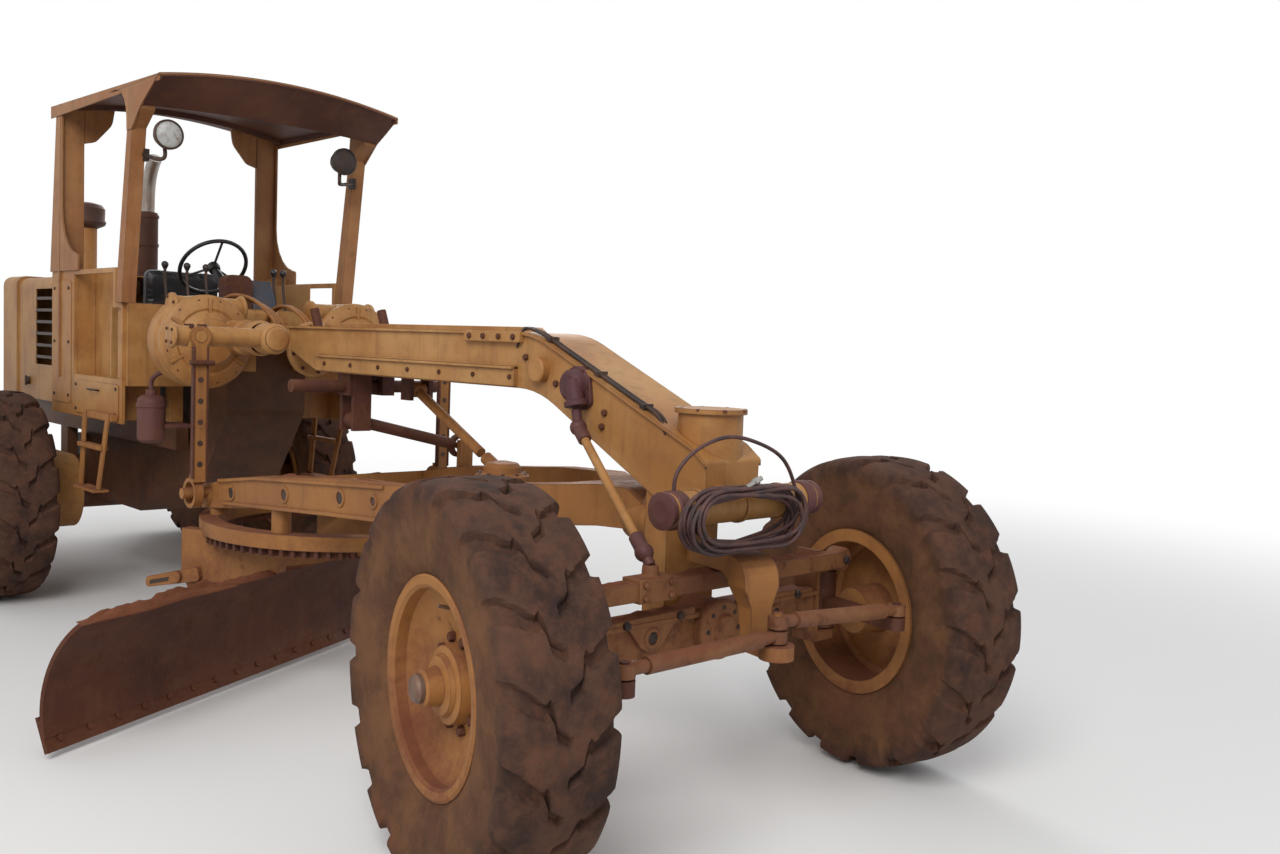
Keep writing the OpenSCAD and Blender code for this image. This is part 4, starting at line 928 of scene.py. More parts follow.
def add_lean_drive():
    """Bevel housing on the neck's right side; from it a shaft with two joints goes down to a gear post on
    the lean bar."""
    turned = lathe([(0, -0.01), (0.078, -0.01), (0.078, 0.012), (0.066, 0.016), (0.062, 0.050),
                    (0.046, 0.064), (0, 0.066)], (2.700, -BEAM_SIDE, 1.560), RIGHTWARD, 40)
    cheek = plate([(2.625, 1.600, 0.02), (2.690, 1.640, 0.02), (2.775, 1.590, 0.02), (2.790, 1.490, 0.02),
                   (2.740, 1.462, 0.02), (2.660, 1.500, 0.02)], -0.156, -0.139)
    snout = lathe([(0, -0.08), (0.034, -0.08), (0.036, 0.0), (0.046, 0.006), (0.046, 0.024), (0.030, 0.030),
                   (0, 0.030)], (2.738, -0.190, 1.505), (0.25, 0, -1), 32)
    knots = np.array([(2.745, -0.190, 1.470), (2.765, -0.193, 1.400), (3.352, -0.385, 1.020),
                      (3.386, -0.385, 0.980)])
    spheres = [lathe([(0.034 * math.sin(a), -0.034 * math.cos(a)) for a in np.linspace(0, math.pi, 9)], at,
                     UP, 20) for at in knots[1:3]]
    forks = [rod(knots[0], knots[1], 0.020), rod(knots[2], knots[3], 0.020)]
    axis = (knots[2] - knots[1]) / np.linalg.norm(knots[2] - knots[1])
    sleeves = [rod(knots[1], knots[1] + axis * 0.085, 0.027), rod(knots[2] - axis * 0.085, knots[2], 0.027)]
    new_piece("lean_joints", [snout] + spheres + forks + sleeves, joint_steel)
    new_piece("bevel_housing", [turned, cheek], joint_steel, bevel=0.003)
    bolts = ring_places((2.700, -BEAM_SIDE - 0.012, 1.560), "y", 0.068, 6)
    new_piece("bevel_bolts", [bolt_heads(bolts, RIGHTWARD, 0.008, 0.008)], rusty_steel)
    new_piece("lean_shaft", [rod(knots[1] + axis * 0.075, knots[2] - axis * 0.075, 0.017, 20)],
              paint)
    seat_post = lathe([(0, -0.052), (0.046, -0.052), (0.046, -0.040), (0.030, -0.034), (0.028, 0.0),
                       (0, 0.0)], (3.386, -0.385, 0.982), UP, 24)
    clamp = slab((3.338, -0.470, 0.862), (3.430, -0.300, 0.944))
    clamp_bolts = [(3.430, y, z) for y in (-0.445, -0.325) for z in (0.880, 0.925)]
    drive = new_piece("lean_gear", [seat_post, clamp, bolt_heads(clamp_bolts, AHEAD, 0.012, 0.011)], 
                      rusty_ochre, bevel=0.003)
    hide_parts("control_shafts")


AXLE_WEB = [(0.120, 0.096, 0.01), (0.560, 0.086, 0.01), (0.560, 0.064, 0.01), (0.440, 0.052, 0.03),
            (0.385, -0.018, 0.03), (0.350, -0.036, 0.02), (0.308, -0.036, 0.02), (0.270, -0.008, 0.03),
            (0.225, 0.048, 0.03), (0.120, 0.062, 0.01)]


def add_axle_castings():
    """On the axle's front: a web with a bored lug on each side, its bore a dark disc of painted shade,
    flanges along the top, collars round the centre pin, and eyes and bolts at the ends of the lean bar
    above it."""
    webs, steel, bolts = [], [], []
    for side, _ in SIDES:
        outline = [(side * y, AXLE_Z + z, r) for y, z, r in AXLE_WEB]
        webs.append(plate(outline, 3.330, 3.356, "x"))
        webs.append(lathe([(0.022, 0), (0.040, 0), (0.040, 0.022), (0.034, 0.028), (0.022, 0.028)],
                          (3.334, side * 0.332, 0.715), AHEAD, 32, closed=True))
        webs.append(side_slab(side, (3.222, 3.358), (0.095, 0.600), (0.757, 0.775)))
        webs.append(lathe([(0, 0), (0.044, 0), (0.048, 0.01), (0.048, 0.062), (0.040, 0.068), (0, 0.068)],
                          (3.348, side * 0.680, 0.901), AHEAD, 28))
        # A short dark bar flush with each lug's face fills the bore: painted shade.
        steel.append(rod((3.352, side * 0.332, 0.715), (3.362, side * 0.332, 0.715), 0.020))
        bolts += [(3.420, side * 0.680, 0.901), (3.356, side * 0.20, 0.778), (3.356, side * 0.46, 0.774)]
    collar = lathe([(0, 0), (0.112, 0), (0.112, 0.018), (0.100, 0.026), (0.060, 0.026), (0.052, 0.042),
                    (0, 0.042)], (3.362, 0, AXLE_Z), AHEAD)
    ring = ring_places((3.382, 0, AXLE_Z), "x", 0.082, 8)
    new_piece("axle_webs", webs + [collar], rusty_ochre, bevel=0.003)
    new_piece("axle_bolts_and_bore_shade", [bolt_heads(bolts, AHEAD, 0.017, 0.014),
                             bolt_heads(ring, AHEAD, 0.010, 0.009)] + steel, dark_steel)
    plate_bolts = ring_places((AXLE_X, 0, 1.500), "z", 0.124, 8, 0.3)
    new_piece("drum_bolts", [bolt_heads(plate_bolts, UP, 0.009, 0.007)], rusty_steel)


def add_nose_cylinder_ends():
    """Stepped end caps with ribs on both ends of the cylinder across the nose."""
    low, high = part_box("front_cylinder")
    x, z = high[0] - 0.060, (low[2] + high[2]) / 2
    cap = [(0, -0.006), (0.064, -0.006), (0.067, 0.0), (0.067, 0.040), (0.058, 0.046), (0.058, 0.056),
           (0.064, 0.060), (0.064, 0.078), (0.040, 0.084), (0.030, 0.084), (0, 0.080)]
    parts = [lathe(cap, (x, low[1] + 0.055, z), RIGHTWARD, 40),
             lathe(cap, (x, high[1] - 0.055, z), (0, 1, 0), 40)]
    new_piece("cylinder_end_caps", parts, joint_steel)
    bands = [lathe([(0.0605, -0.010), (0.065, -0.010), (0.066, 0.0), (0.065, 0.010), (0.0605, 0.010)],
                   (x, y, z), (0, 1, 0), 40, closed=True) for y in (-0.27, -0.06, 0.16)]
    new_piece("cylinder_bands", bands, paint)


def earth_heap(start, end, width, height, seed, cells=(90, 26)):
    """Loose earth along a line: a ridge, cosine across and fading at both ends, times waves of five lengths
    in two directions whose phases come from the seed; the underside is flat."""
    start, end = np.array(start), np.array(end)
    u, v = np.meshgrid(np.linspace(0, 1, cells[0]), np.linspace(-1, 1, cells[1]), indexing="ij")
    along = (end - start) / np.linalg.norm(end - start)
    across = np.cross(UP, along)
    phase = np.random.default_rng(seed).uniform(0, TAU, (5, 2))
    length = np.linalg.norm(end - start)
    lumps = 0.62 + 0 * u
    for k, (p, q) in enumerate(phase):
        f = 9.0 * 1.8 ** k
        wave = 0.30 / 1.45 ** k * np.sin(f * length * u + p + 2.0 * np.sin(3.1 * v + q))
        lumps = lumps + wave * np.cos(f * width * v + q)
    ridge = np.cos(0.5 * math.pi * v) ** 0.8 * np.clip(6 * u, 0, 1) * np.clip(6 * (1 - u), 0, 1)
    rise = height * ridge * np.clip(lumps, 0.05, 1.3)
    sideways = 0.5 * width * v * (0.8 + 0.2 * np.sin(11 * u + seed))
    flat = start + (end - start) * u[..., None] + across * sideways[..., None]
    top = flat + np.array(UP) * rise[..., None]
    bottom = (flat - np.array((0, 0, 0.006)))[:, ::-1]
    loop = np.concatenate([top, bottom], 1)
    n = loop.shape[1]
    ends = [[row * n + k for k in range(n)] for row in (0, cells[0] - 1)]
    return loop.reshape(-1, 3), grid_faces(cells[0], n, wrap_cols=True) + ends


add_beam_fittings()
add_lean_drive()
add_axle_castings()
add_nose_cylinder_ends()

# Drawbar, circle and blade

CIRCLE_X = 0.760
BLADE_ANGLE = math.radians(26.4)
BLADE_SET = 0.232
BLADE_SHIFT = 0.070
BLADE_L = 3.660
BLADE_GAP = 0.022
BLADE_LEAN = math.radians(17)
EDGE_TILT = math.asin(0.2855 / 0.4765)
EDGE_T = 0.018
RING_TEETH = 84
GEAR_AT = (1.930, 0.080)


def on_blade(p, q, along):
    """A place on the blade's section (p forward, q up) at a distance along it, leant, set back, turned with
    the circle."""
    p, q, along = np.broadcast_arrays(p, q, along)
    x = p * math.cos(BLADE_LEAN) + q * math.sin(BLADE_LEAN) - BLADE_SET
    z = BLADE_GAP - p * math.sin(BLADE_LEAN) + q * math.cos(BLADE_LEAN)
    y = along + BLADE_SHIFT
    c, s = math.cos(BLADE_ANGLE), math.sin(BLADE_ANGLE)
    return np.stack([CIRCLE_X + x * c - y * s, x * s + y * c, z], -1)


def on_circle(x, y, z):
    """A place given square to the blade about the circle's centre, turned by the blade's angle."""
    c, s = math.cos(BLADE_ANGLE), math.sin(BLADE_ANGLE)
    x, y, z = np.broadcast_arrays(x, y, z)
    return np.stack([CIRCLE_X + x * c - y * s, x * s + y * c, z], -1)


def tooth_ring():
    """A ring whose outer radius steps between root and tip once a tooth, over a plain inner radius."""
    turn = (np.arange(RING_TEETH)[:, None] + np.array([-0.32, -0.16, 0.16,
                                                       0.32])).ravel() * TAU / RING_TEETH
    outer = np.tile([0.716, 0.748, 0.748, 0.716], RING_TEETH)
    inner = np.full(len(turn), 0.682)
    rings = [(outer, 0.724), (outer, 0.684), (inner, 0.684), (inner, 0.724)]
    points = np.stack([np.stack([CIRCLE_X + r * np.cos(turn), r * np.sin(turn), np.full(len(turn), z)], -1)
                       for r, z in rings])
    return points.reshape(-1, 3), grid_faces(4, len(turn), wrap_rows=True, wrap_cols=True)


def add_circle_and_blade_fittings():
    """Teeth under the ring's lip, tip links on the arms with painted shade in their slots, plough bolts on
    the blade, and earth on its top."""
    new_piece("circle_teeth", [tooth_ring()], rusty_steel, "blade_turn")
    links, ends = [], []
    for u in (-0.560, 0.560):
        hook = plate([(-0.800, 0.425, 0.02), (-0.795, 0.480, 0.02), (-0.480, 0.560, 0.02),
                      (-0.465, 0.490, 0.02)], -0.058, -0.026)
        # The slot in each link is a dark plate just proud of both its faces: painted shade.
        slot_shade = plate([(-0.772, 0.444), (-0.766, 0.466), (-0.650, 0.494), (-0.655, 0.472)], -0.0595, -0.0255)
        for (points, faces), into in ((hook, links), (slot_shade, ends)):
            into.append((on_circle(points[:, 0], points[:, 1] + u, points[:, 2]), faces))
        links.append(tube(on_circle(np.linspace(-0.60, -0.60, 4), u + np.linspace(-0.075, 0.045, 4), 0.500),
                          0.030))
    new_piece("blade_tip_links", links, paint_low, "blade_turn", bevel=0.003)
    new_piece("tip_link_slot_shade", ends, dark_steel, "blade_turn")
    a, b = EDGE_T, np.array([0.045, 0.105])[:, None]
    along = np.arange(-BLADE_L / 2 + 0.075, BLADE_L / 2, 0.152)[None]
    rows = on_blade(a * math.cos(EDGE_TILT) - b * math.sin(EDGE_TILT),
                    a * math.sin(EDGE_TILT) + b * math.cos(EDGE_TILT), along)
    normal = on_blade(math.cos(EDGE_TILT), math.sin(EDGE_TILT), 0.0) - on_blade(0.0, 0.0, 0.0)
    new_piece("plough_bolts", [bolt_heads(rows.reshape(-1, 3), normal, 0.015, 0.007)],
              blade_steel, "blade_turn")
    crest = 0.566
    heaps = []
    for start, end, wide, high, seed in ((-1.80, -0.95, 0.10, 0.045, 4), (-1.25, -0.35, 0.07, 0.025, 9),
                                         (-0.2, 0.9, 0.05, 0.012, 12)):
        ends_at = on_blade(np.array([-0.006, -0.006]), np.array([crest, crest]), np.array([start, end]))
        heaps.append(earth_heap(ends_at[0], ends_at[1], wide, high, seed))
    new_piece("earth_on_blade", heaps, earth, "blade_turn")


def add_drawbar_fittings():
    """Flanges proud of the side members, round ends, rings at the bored holes with a dark disc of painted
    shade in each, and the stepped dome of the gear case."""
    parts, hole_shade_discs = [], []
    for side, _ in SIDES:
        low, high = on_side(side, 0.638, 0.652)
        parts.append(plate([(0.620, 0.862), (1.600, 0.937), (2.100, 0.972), (2.100, 0.990), (1.600, 0.955),
                            (0.620, 0.880)], low, high))
        parts.append(plate([(0.560, 0.966), (0.955, 1.020), (2.100, 1.108), (2.100, 1.124), (0.950, 1.036),
                            (0.560, 0.984)], low, high))
        parts.append(rod((0.410, side * 0.560, 0.885), (0.410, side * 0.656, 0.885), 0.062, 36))
        for x, z, r in ((0.700, 0.930, 0.026), (1.250, 0.985, 0.026), (1.750, 1.030, 0.026),
                        (2.020, 1.048, 0.018)):
            parts.append(lathe([(r, -0.004), (r + 0.014, -0.004), (r + 0.014, 0.006), (r, 0.006)],
                               (x, side * 0.640, z), (0, side, 0), 28, closed=True))
            # A dark disc just proud of the side member inside each ring stands for the hole: painted shade.
            hole_shade_discs.append(lathe([(0, -0.01), (r, -0.01), (r, 0.0012), (0, 0.0012)], (x, side * 0.640, z),
                               (0, side, 0), 28))
    dome = lathe([(0, -0.02), (0.124, -0.02), (0.124, 0.014), (0.112, 0.022), (0.088, 0.028),
                  (0.086, 0.052), (0.070, 0.070), (0.030, 0.078), (0, 0.079)], (*GEAR_AT, 1.100), UP, 56)
    new_piece("drawbar_flanges", parts + [dome], paint_low, "drawbar", bevel=0.002)
    ring = ring_places((*GEAR_AT, 1.118), "z", 0.106, 10)
    new_piece("drawbar_hole_shade_and_bolts", hole_shade_discs + [bolt_heads(ring, UP, 0.010, 0.010)], dark_steel,
              "drawbar")
    heap = earth_heap((1.05, -0.592, 1.045), (2.02, -0.592, 1.122), 0.080, 0.018, 21)
    cross = earth_heap((0.455, -0.50, 0.940), (0.455, 0.50, 0.940), 0.16, 0.022, 23)
    new_piece("earth_on_drawbar", [heap, cross], earth, "drawbar")


def add_earth_on_axle():
    """Red earth along the lean bar, in two stretches, and on the axle's top."""
    bar = earth_heap((3.382, -0.285, 0.931), (3.382, 0.61, 0.931), 0.060, 0.020, 31)
    bar_end = earth_heap((3.382, -0.64, 0.931), (3.382, -0.48, 0.931), 0.055, 0.014, 33, (30, 16))
    axle_top = earth_heap((AXLE_X, -0.58, 0.770), (AXLE_X, -0.12, 0.778), 0.11, 0.022, 35)
    new_piece("earth_on_axle", [bar, bar_end, axle_top], earth)


add_circle_and_blade_fittings()
add_drawbar_fittings()
add_earth_on_axle()

# Lift gear: worm cases, shaft housings, cranks and links

WORM_AT = (-0.142, 0.450, 1.660)
CROSS_X = -0.155
CROSS_Z = 1.842
LIFT_X = 0.440
LIFT_Z = 1.690
HUB_Y = 0.320
ARM_Y = 0.720


def add_lift_gear_details(side, name):
    """Stepped, ribbed cover and worm housing on the case; collars on the shaft; clamp, flange and bolts on
    the crank."""
    y = side * WORM_AT[1]
    cover = lathe([(0, 0.06), (0.252, 0.06), (0.254, 0.075), (0.254, 0.098), (0.244, 0.108), (0.180, 0.128),
                   (0.168, 0.120), (0.128, 0.150), (0.118, 0.176), (0.090, 0.182), (0, 0.182)],
                  (WORM_AT[0], y, WORM_AT[2]), AHEAD, 72)
    parts = [cover]
    for a in np.arange(6) * TAU / 6 + 0.5:
        out, turn = np.array((0, math.cos(a), math.sin(a))), np.array((0, -math.sin(a), math.cos(a)))
        base = np.array((WORM_AT[0], y, WORM_AT[2]))
        rib_points, rib_faces = slab((0.085, 0.095, -0.009), (0.128, 0.236, 0.009))
        placed = base + rib_points[:, :1] * AHEAD + rib_points[:, 1:2] * out + rib_points[:, 2:] * turn
        parts.append((placed, rib_faces))
    parts.append(rod((CROSS_X, side * 0.215, CROSS_Z), (CROSS_X, side * 0.600, CROSS_Z), 0.062, 36))
    for at in (0.200, 0.585):
        parts.append(rod((CROSS_X, side * at, CROSS_Z), (CROSS_X, side * (at + 0.028), CROSS_Z), 0.078, 36))
    for x in (-0.02, 0.130, 0.300):
        parts.append(rod((x, side * HUB_Y, LIFT_Z), (x + 0.040, side * HUB_Y, LIFT_Z), 0.094, 40))
    new_piece("worm_case_cover_" + name, parts, paint, bevel=0.003)
    rim = ring_places((WORM_AT[0] + 0.104, y, WORM_AT[2]), "x", 0.222, 12, 0.24)
    flange = ring_places((CROSS_X, side * 0.613, CROSS_Z), "y", 0.062, 4, 0.4)
    new_piece("worm_case_bolts_" + name, [bolt_heads(rim, AHEAD, 0.012, 0.010),
                                          bolt_heads(flange, (0, side, 0), 0.009, 0.008)],
              rusty_steel)
    arm = [rod((LIFT_X, side * 0.330, LIFT_Z), (LIFT_X, side * 0.846, LIFT_Z), 0.050, 40),
           rod((0.355, side * HUB_Y, LIFT_Z), (0.505, side * HUB_Y, LIFT_Z), 0.080, 40),
           rod((0.500, side * HUB_Y, LIFT_Z), (0.522, side * HUB_Y, LIFT_Z), 0.062, 36),
           rod((LIFT_X, side * 0.826, LIFT_Z), (LIFT_X, side * 0.849, LIFT_Z), 0.064, 36),
           side_slab(side, (0.385, 0.489), (0.672, 0.768), (1.634, 1.702))]
    new_piece("crank_arm_" + name, arm, paint, "crank_" + name, bevel=0.005)
    bolts = [(LIFT_X + dx, side * (ARM_Y + dy), 1.735) for dx in (-0.030, 0.030) for dy in (-0.032, 0.032)]
    nuts = ring_places((LIFT_X, side * 0.849, LIFT_Z), "y", 0.045, 4, 0.7)
    new_piece("crank_bolts_" + name, [bolt_heads(bolts, UP, 0.013, 0.016),
                                      bolt_heads(nuts, (0, side, 0), 0.008, 0.007)],
              rusty_steel, "crank_" + name)
    # Dark discs just proud of the link stand for its row of holes: painted shade.
    hole_shade_discs = [lathe([(0, -0.0240), (0.014, -0.0240), (0.014, 0.0015), (0, 0.0015)],
                   (0.512, side * ARM_Y, 1.58 - 0.105 * k), AHEAD, 24) for k in range(1, 6)]
    new_piece("lift_link_hole_shade_" + name, hole_shade_discs, dark_steel, "lift_link_" + name)
    pin = rod((0.527, side * (ARM_Y - 0.062), 1.560), (0.527, side * (ARM_Y + 0.062), 1.560), 0.013)
    edges = [slab((0.488, side * ARM_Y + dy - 0.005, 0.985), (0.517, side * ARM_Y + dy + 0.005, 1.640))
             for dy in (-0.034, 0.034)]
    new_piece("lift_link_pin_" + name, [pin] + edges, rusty_steel, "lift_link_" + name,
              bevel=0.002)


for side, name in SIDES:
    add_lift_gear_details(side, name)

# Operator's station

SHEET_Y = 0.700
CAB_REAR = -1.808
RECESS_REAR = -1.400


def add_cab_sides():
    """Side sheets with a recess behind the step, and lockers with lids and handles below."""
    parts, trim = [], []
    for side, _ in SIDES:
        low, high = on_side(side, 0.678, SHEET_Y)
        parts.append(plate([(CAB_REAR, 1.172), (-0.602, 1.172), (-0.602, 1.858), (-0.715, 1.858),
                            (-0.715, 2.060), (RECESS_REAR, 2.060), (RECESS_REAR, 2.030), (-0.745, 2.030),
                            (-0.745, 1.830), (-0.625, 1.830), (-0.625, 1.425), (RECESS_REAR, 1.425, 0.03),
                            (RECESS_REAR, 2.098), (CAB_REAR, 2.098)], low, high))
        parts.append(side_slab(side, (RECESS_REAR, -0.830), (0.560, 0.572), (1.418, 2.045)))
        parts.append(side_slab(side, (-1.412, -1.398), (0.562, 0.680), (1.418, 2.045)))
        parts.append(side_slab(side, (-0.840, -0.828), (0.562, 0.680), (1.418, 1.840)))
        lid_low, lid_high = on_side(side, 0.699, 0.707)
        parts.append(plate([(-1.360, 1.195, 0.02), (-0.640, 1.195, 0.02), (-0.640, 1.392, 0.02),
                            (-1.360, 1.392, 0.02)], lid_low, lid_high))
        parts.append(plate([(-1.780, 1.240, 0.03), (-1.440, 1.240, 0.03), (-1.440, 2.000, 0.03),
                            (-1.780, 2.000, 0.03)], lid_low - 0.003 * side, lid_high - 0.003 * side))
        trim.append(tube(smooth_path([(-1.06, side * 0.705, 1.345), (-1.06, side * 0.733, 1.350),
                                      (-0.94, side * 0.733, 1.350), (-0.94, side * 0.705, 1.345)], 30),
                         0.006, 8))
        bolts = [(x, side * 0.704, z) for x in (-1.74, -1.48) for z in (1.29, 1.62, 1.95)]
        bolts += [(x, side * 0.707, z) for x in (-1.33, -0.67) for z in (1.22, 1.367)]
        trim.append(bolt_heads(bolts, (0, side, 0), 0.010, 0.007))
    new_piece("cab_side_sheets", parts, paint, bevel=0.0025)
    new_piece("cab_side_trim", trim, dark_steel)


def add_ladders():
    """Two sloping rails, a foot plate, a rung and a top bar on each side stand for the steps."""
    parts = []
    for side, _ in SIDES:
        low, high = on_side(side, 0.738, 0.752)
        for top_x, foot_x, wide in ((-1.080, -1.145, 0.055), (-0.700, -0.860, 0.050)):
            parts.append(plate([(top_x, 1.225), (top_x + wide, 1.225), (foot_x + wide, 0.762),
                                (foot_x, 0.762)], low, high))
        for x0, x1, near, far, z0, z1 in ((-1.150, -0.805, 0.692, 0.782, 0.760, 0.776),
                                          (-1.115, -0.745, 0.718, 0.770, 1.010, 1.036),
                                          (-1.090, -0.640, 0.705, 0.745, 1.185, 1.225)):
            parts.append(side_slab(side, (x0, x1), (near, far), (z0, z1)))
    ladders = new_piece("cab_ladders", parts, paint_low, bevel=0.003)
    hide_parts("steps")


DIAL_AT = [(-0.072, 1.985), (0.016, 1.985), (-0.028, 1.905)]
LEVER_AT = [(-0.800, -0.385), (-0.800, -0.253), (-0.800, -0.137), (-0.800, 0.300), (-0.800, 0.363)]


def add_levers_and_gauges():
    """Levers rise from quadrants to turned knobs; a rounded gauge box and a sloping panel stand on
    the cowl."""
    quadrants, knobs, plates = [], [], []
    for side, _ in SIDES:
        y0, y1 = on_side(side, 0.110, 0.440)
        quadrants.append(plate([(-0.900, 1.420), (-0.900, 1.650, 0.06), (-0.860, 1.720, 0.04),
                                (-0.600, 1.720, 0.02), (-0.600, 1.420)], y0, y1))
        quadrants.append(side_slab(side, (-0.700, -0.592), (0.215, 0.640), (1.700, 1.862)))
    for x, y in LEVER_AT:
        stem = smooth_path([(x + 0.10, y, 1.700), (x + 0.045, y, 1.850), (x + 0.005, y, 2.000),
                            (x, y, 2.090)], 16)
        quadrants.append(tube(stem, 0.0085))
        quadrants.append(lathe([(0, 0), (0.024, 0), (0.024, 0.008), (0.012, 0.03), (0, 0.03)],
                               (x + 0.10, y, 1.716), (-0.2, 0, 1), 16))
        knobs.append(lathe([(0, -0.024), (0.010, -0.024), (0.014, -0.016), (0.021, 0.0), (0.019, 0.013),
                            (0.010, 0.021), (0, 0.023)], (x, y, 2.100), UP, 20))
    gauge_box = plate([(-0.116, 1.850), (-0.116, 2.060, 0.05), (0.060, 2.060, 0.05), (0.060, 1.850)],
                      -0.670, -0.580, "x")
    dials = [lathe([(0, 0), (0.034, 0), (0.034, 0.008), (0.029, 0.010), (0.028, 0.005), (0, 0.005)],
                   (-0.670, y, z), (-1, 0, 0), 28) for y, z in DIAL_AT]
    panel = plate([(-0.670, 1.850), (-0.580, 1.850), (-0.580, 1.880), (-0.670, 2.040)], 0.064, 0.215)
    bank = new_piece("lever_bank", quadrants, dark_steel, bevel=0.002)
    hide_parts("control_levers")
    new_piece("lever_knobs", knobs, vinyl)
    new_piece("gauge_box", [gauge_box], rusty_steel, bevel=0.004)
    new_piece("gauge_dials", dials, bright_steel)
    new_piece("sloping_panel", [panel], slate_paint, bevel=0.003)
    cowl = plate([(-0.640, 1.700), (-0.640, 1.846, 0.02), (-0.600, 1.862, 0.02), (-0.552, 1.850, 0.02),
                  (-0.552, 1.700)], -0.215, 0.215)
    new_piece("cowl_roll", [cowl], paint)


def add_steering_wheel():
    """A thin rim with three spokes on a hub, upright on the column that rises from the toe board, with a
    dark boot."""
    centre, facing = np.array([-1.010, 0, 2.120]), np.array([-0.76, 0, 0.65])
    up, turn = np.array([facing[2], 0, -facing[0]]), np.linspace(0, TAU, 73)
    rim = centre + 0.205 * (np.cos(turn)[:, None] * (0, 1.0, 0) + np.sin(turn)[:, None] * up)
    ring_points, ring_faces = tube(rim[:-1], 0.0125, 12)
    parts = [(ring_points, grid_faces(72, 12, wrap_rows=True, wrap_cols=True))]
    for a in (1.571, 3.665, 5.760):
        spoke = centre + 0.200 * (math.cos(a) * np.array((0, 1.0, 0)) + math.sin(a) * up)
        parts.append(rod(centre, spoke, 0.0075, 12))
    foot = np.array([-0.650, 0, 1.425])
    parts.append(lathe([(0, -0.035), (0.034, -0.035), (0.040, -0.010), (0.036, 0.012), (0.020, 0.020),
                        (0, 0.021)], centre, facing, 28))
    parts.append(tube(smooth_path([foot, foot + (-0.14, 0, 0.28), centre - facing * 0.16,
                                   centre - facing * 0.02], 30), 0.024, 20))
    parts.append(lathe([(0, 0), (0.075, 0), (0.075, 0.02), (0.050, 0.05), (0.034, 0.10), (0, 0.10)],
                       foot - (0, 0, 0.003), (-0.4, 0, 1), 28))
    column = new_piece("steering_wheel", parts, vinyl)
    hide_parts("steering_column")


def add_side_tank():
    """A dark round tank with domed ends hung beside the case on the right, with its strap and a bent
    pipe."""
    tank = lathe([(0, 0), (0.052, 0.004), (0.072, 0.022), (0.074, 0.04), (0.074, 0.20), (0.080, 0.205),
                  (0.080, 0.222), (0.074, 0.227), (0.072, 0.250), (0.052, 0.268), (0.030, 0.272),
                  (0.030, 0.300), (0, 0.300)], (-0.400, -0.610, 1.080), UP, 40)
    strap = slab((-0.480, -0.560, 1.170), (-0.320, -0.420, 1.190))
    pipe = tube(smooth_path([(-0.400, -0.610, 1.370), (-0.400, -0.610, 1.430), (-0.360, -0.590, 1.470),
                             (-0.260, -0.540, 1.500), (-0.180, -0.480, 1.520)], 40), 0.013, 12)
    new_piece("side_tank", [tank, strap, pipe], joint_steel)


add_cab_sides()
add_ladders()
add_levers_and_gauges()
add_steering_wheel()
add_side_tank()

# Seat

SEAT_GROW = 0.014
SEAT_VOXEL = 0.006
CLOTH_PRESSURE = 4
CLOTH_FRAMES = 20
BACK_LEAN = math.radians(-83)
BACK_HINGE = Vector((-1.530, 0, 1.700))


def pad_form(low, high, crown):
    """A cushion: a box's points pushed towards a rounded form. Along each axis the half size is drawn in
    between the corners by a cosine of the other two, and the upper face rises by the crown times their
    cosines."""
    low, high = np.array(low), np.array(high)
    box = bmesh.new()
    bmesh.ops.create_cube(box, size=2.0)
    bmesh.ops.subdivide_edges(box, edges=box.edges, cuts=15, use_grid_fill=True)
    mesh = bpy.data.meshes.new("pad")
    box.to_mesh(mesh)
    box.free()
    p = np.empty(len(mesh.vertices) * 3)
    mesh.vertices.foreach_get("co", p)
    p = p.reshape(-1, 3)
    power = (np.abs(p) ** 7).sum(1, keepdims=True) ** (1 / 7)
    soft = p / power * np.max(np.abs(p), axis=1, keepdims=True)
    bow = 1 - 0.030 * np.cos(0.5 * math.pi * soft[:, [1, 0, 0]]) * (np.abs(soft) > 0.6) * (1, 1, 0)
    soft = soft * bow
    rise = np.cos(0.5 * math.pi * soft[:, 0]) * np.cos(0.5 * math.pi * soft[:, 1]) * (soft[:, 2] > 0.2)
    soft[:, 2] += crown * rise
    place = (low + high) / 2 + soft * (high - low) / 2
    mesh.vertices.foreach_set("co", place.ravel())
    return mesh


def puffed(mesh, cap):
    """Cloth under pressure without gravity; no point may end further than the cap from where it was."""
    made = bpy.data.objects.new("pad", mesh)
    scene.collection.objects.link(made)
    remesh = made.modifiers.new("remesh", "REMESH")
    remesh.mode = "VOXEL"
    remesh.voxel_size = SEAT_VOXEL
    start = bpy.data.meshes.new_from_object(made.evaluated_get(bpy.context.evaluated_depsgraph_get()))
    made.modifiers.clear()
    made.data = start
    rest = np.empty(len(start.vertices) * 3)
    start.vertices.foreach_get("co", rest)
    cloth = made.modifiers.new("cloth", "CLOTH")
    cloth.settings.use_pressure = True
    cloth.settings.uniform_pressure_force = CLOTH_PRESSURE
    cloth.settings.effector_weights.gravity = 0
    for count in range(1, CLOTH_FRAMES + 1):
        scene.frame_set(count)
    blown = bpy.data.meshes.new_from_object(made.evaluated_get(bpy.context.evaluated_depsgraph_get()))
    scene.frame_set(1)
    moved = np.empty(len(blown.vertices) * 3)
    blown.vertices.foreach_get("co", moved)
    way = (moved - rest).reshape(-1, 3)
    far = np.linalg.norm(way, axis=1, keepdims=True)
    kept = rest.reshape(-1, 3) + way * np.minimum(1, cap / np.maximum(far, 1e-9))
    blown.vertices.foreach_set("co", kept.ravel())
    bpy.data.objects.remove(made)
    return blown


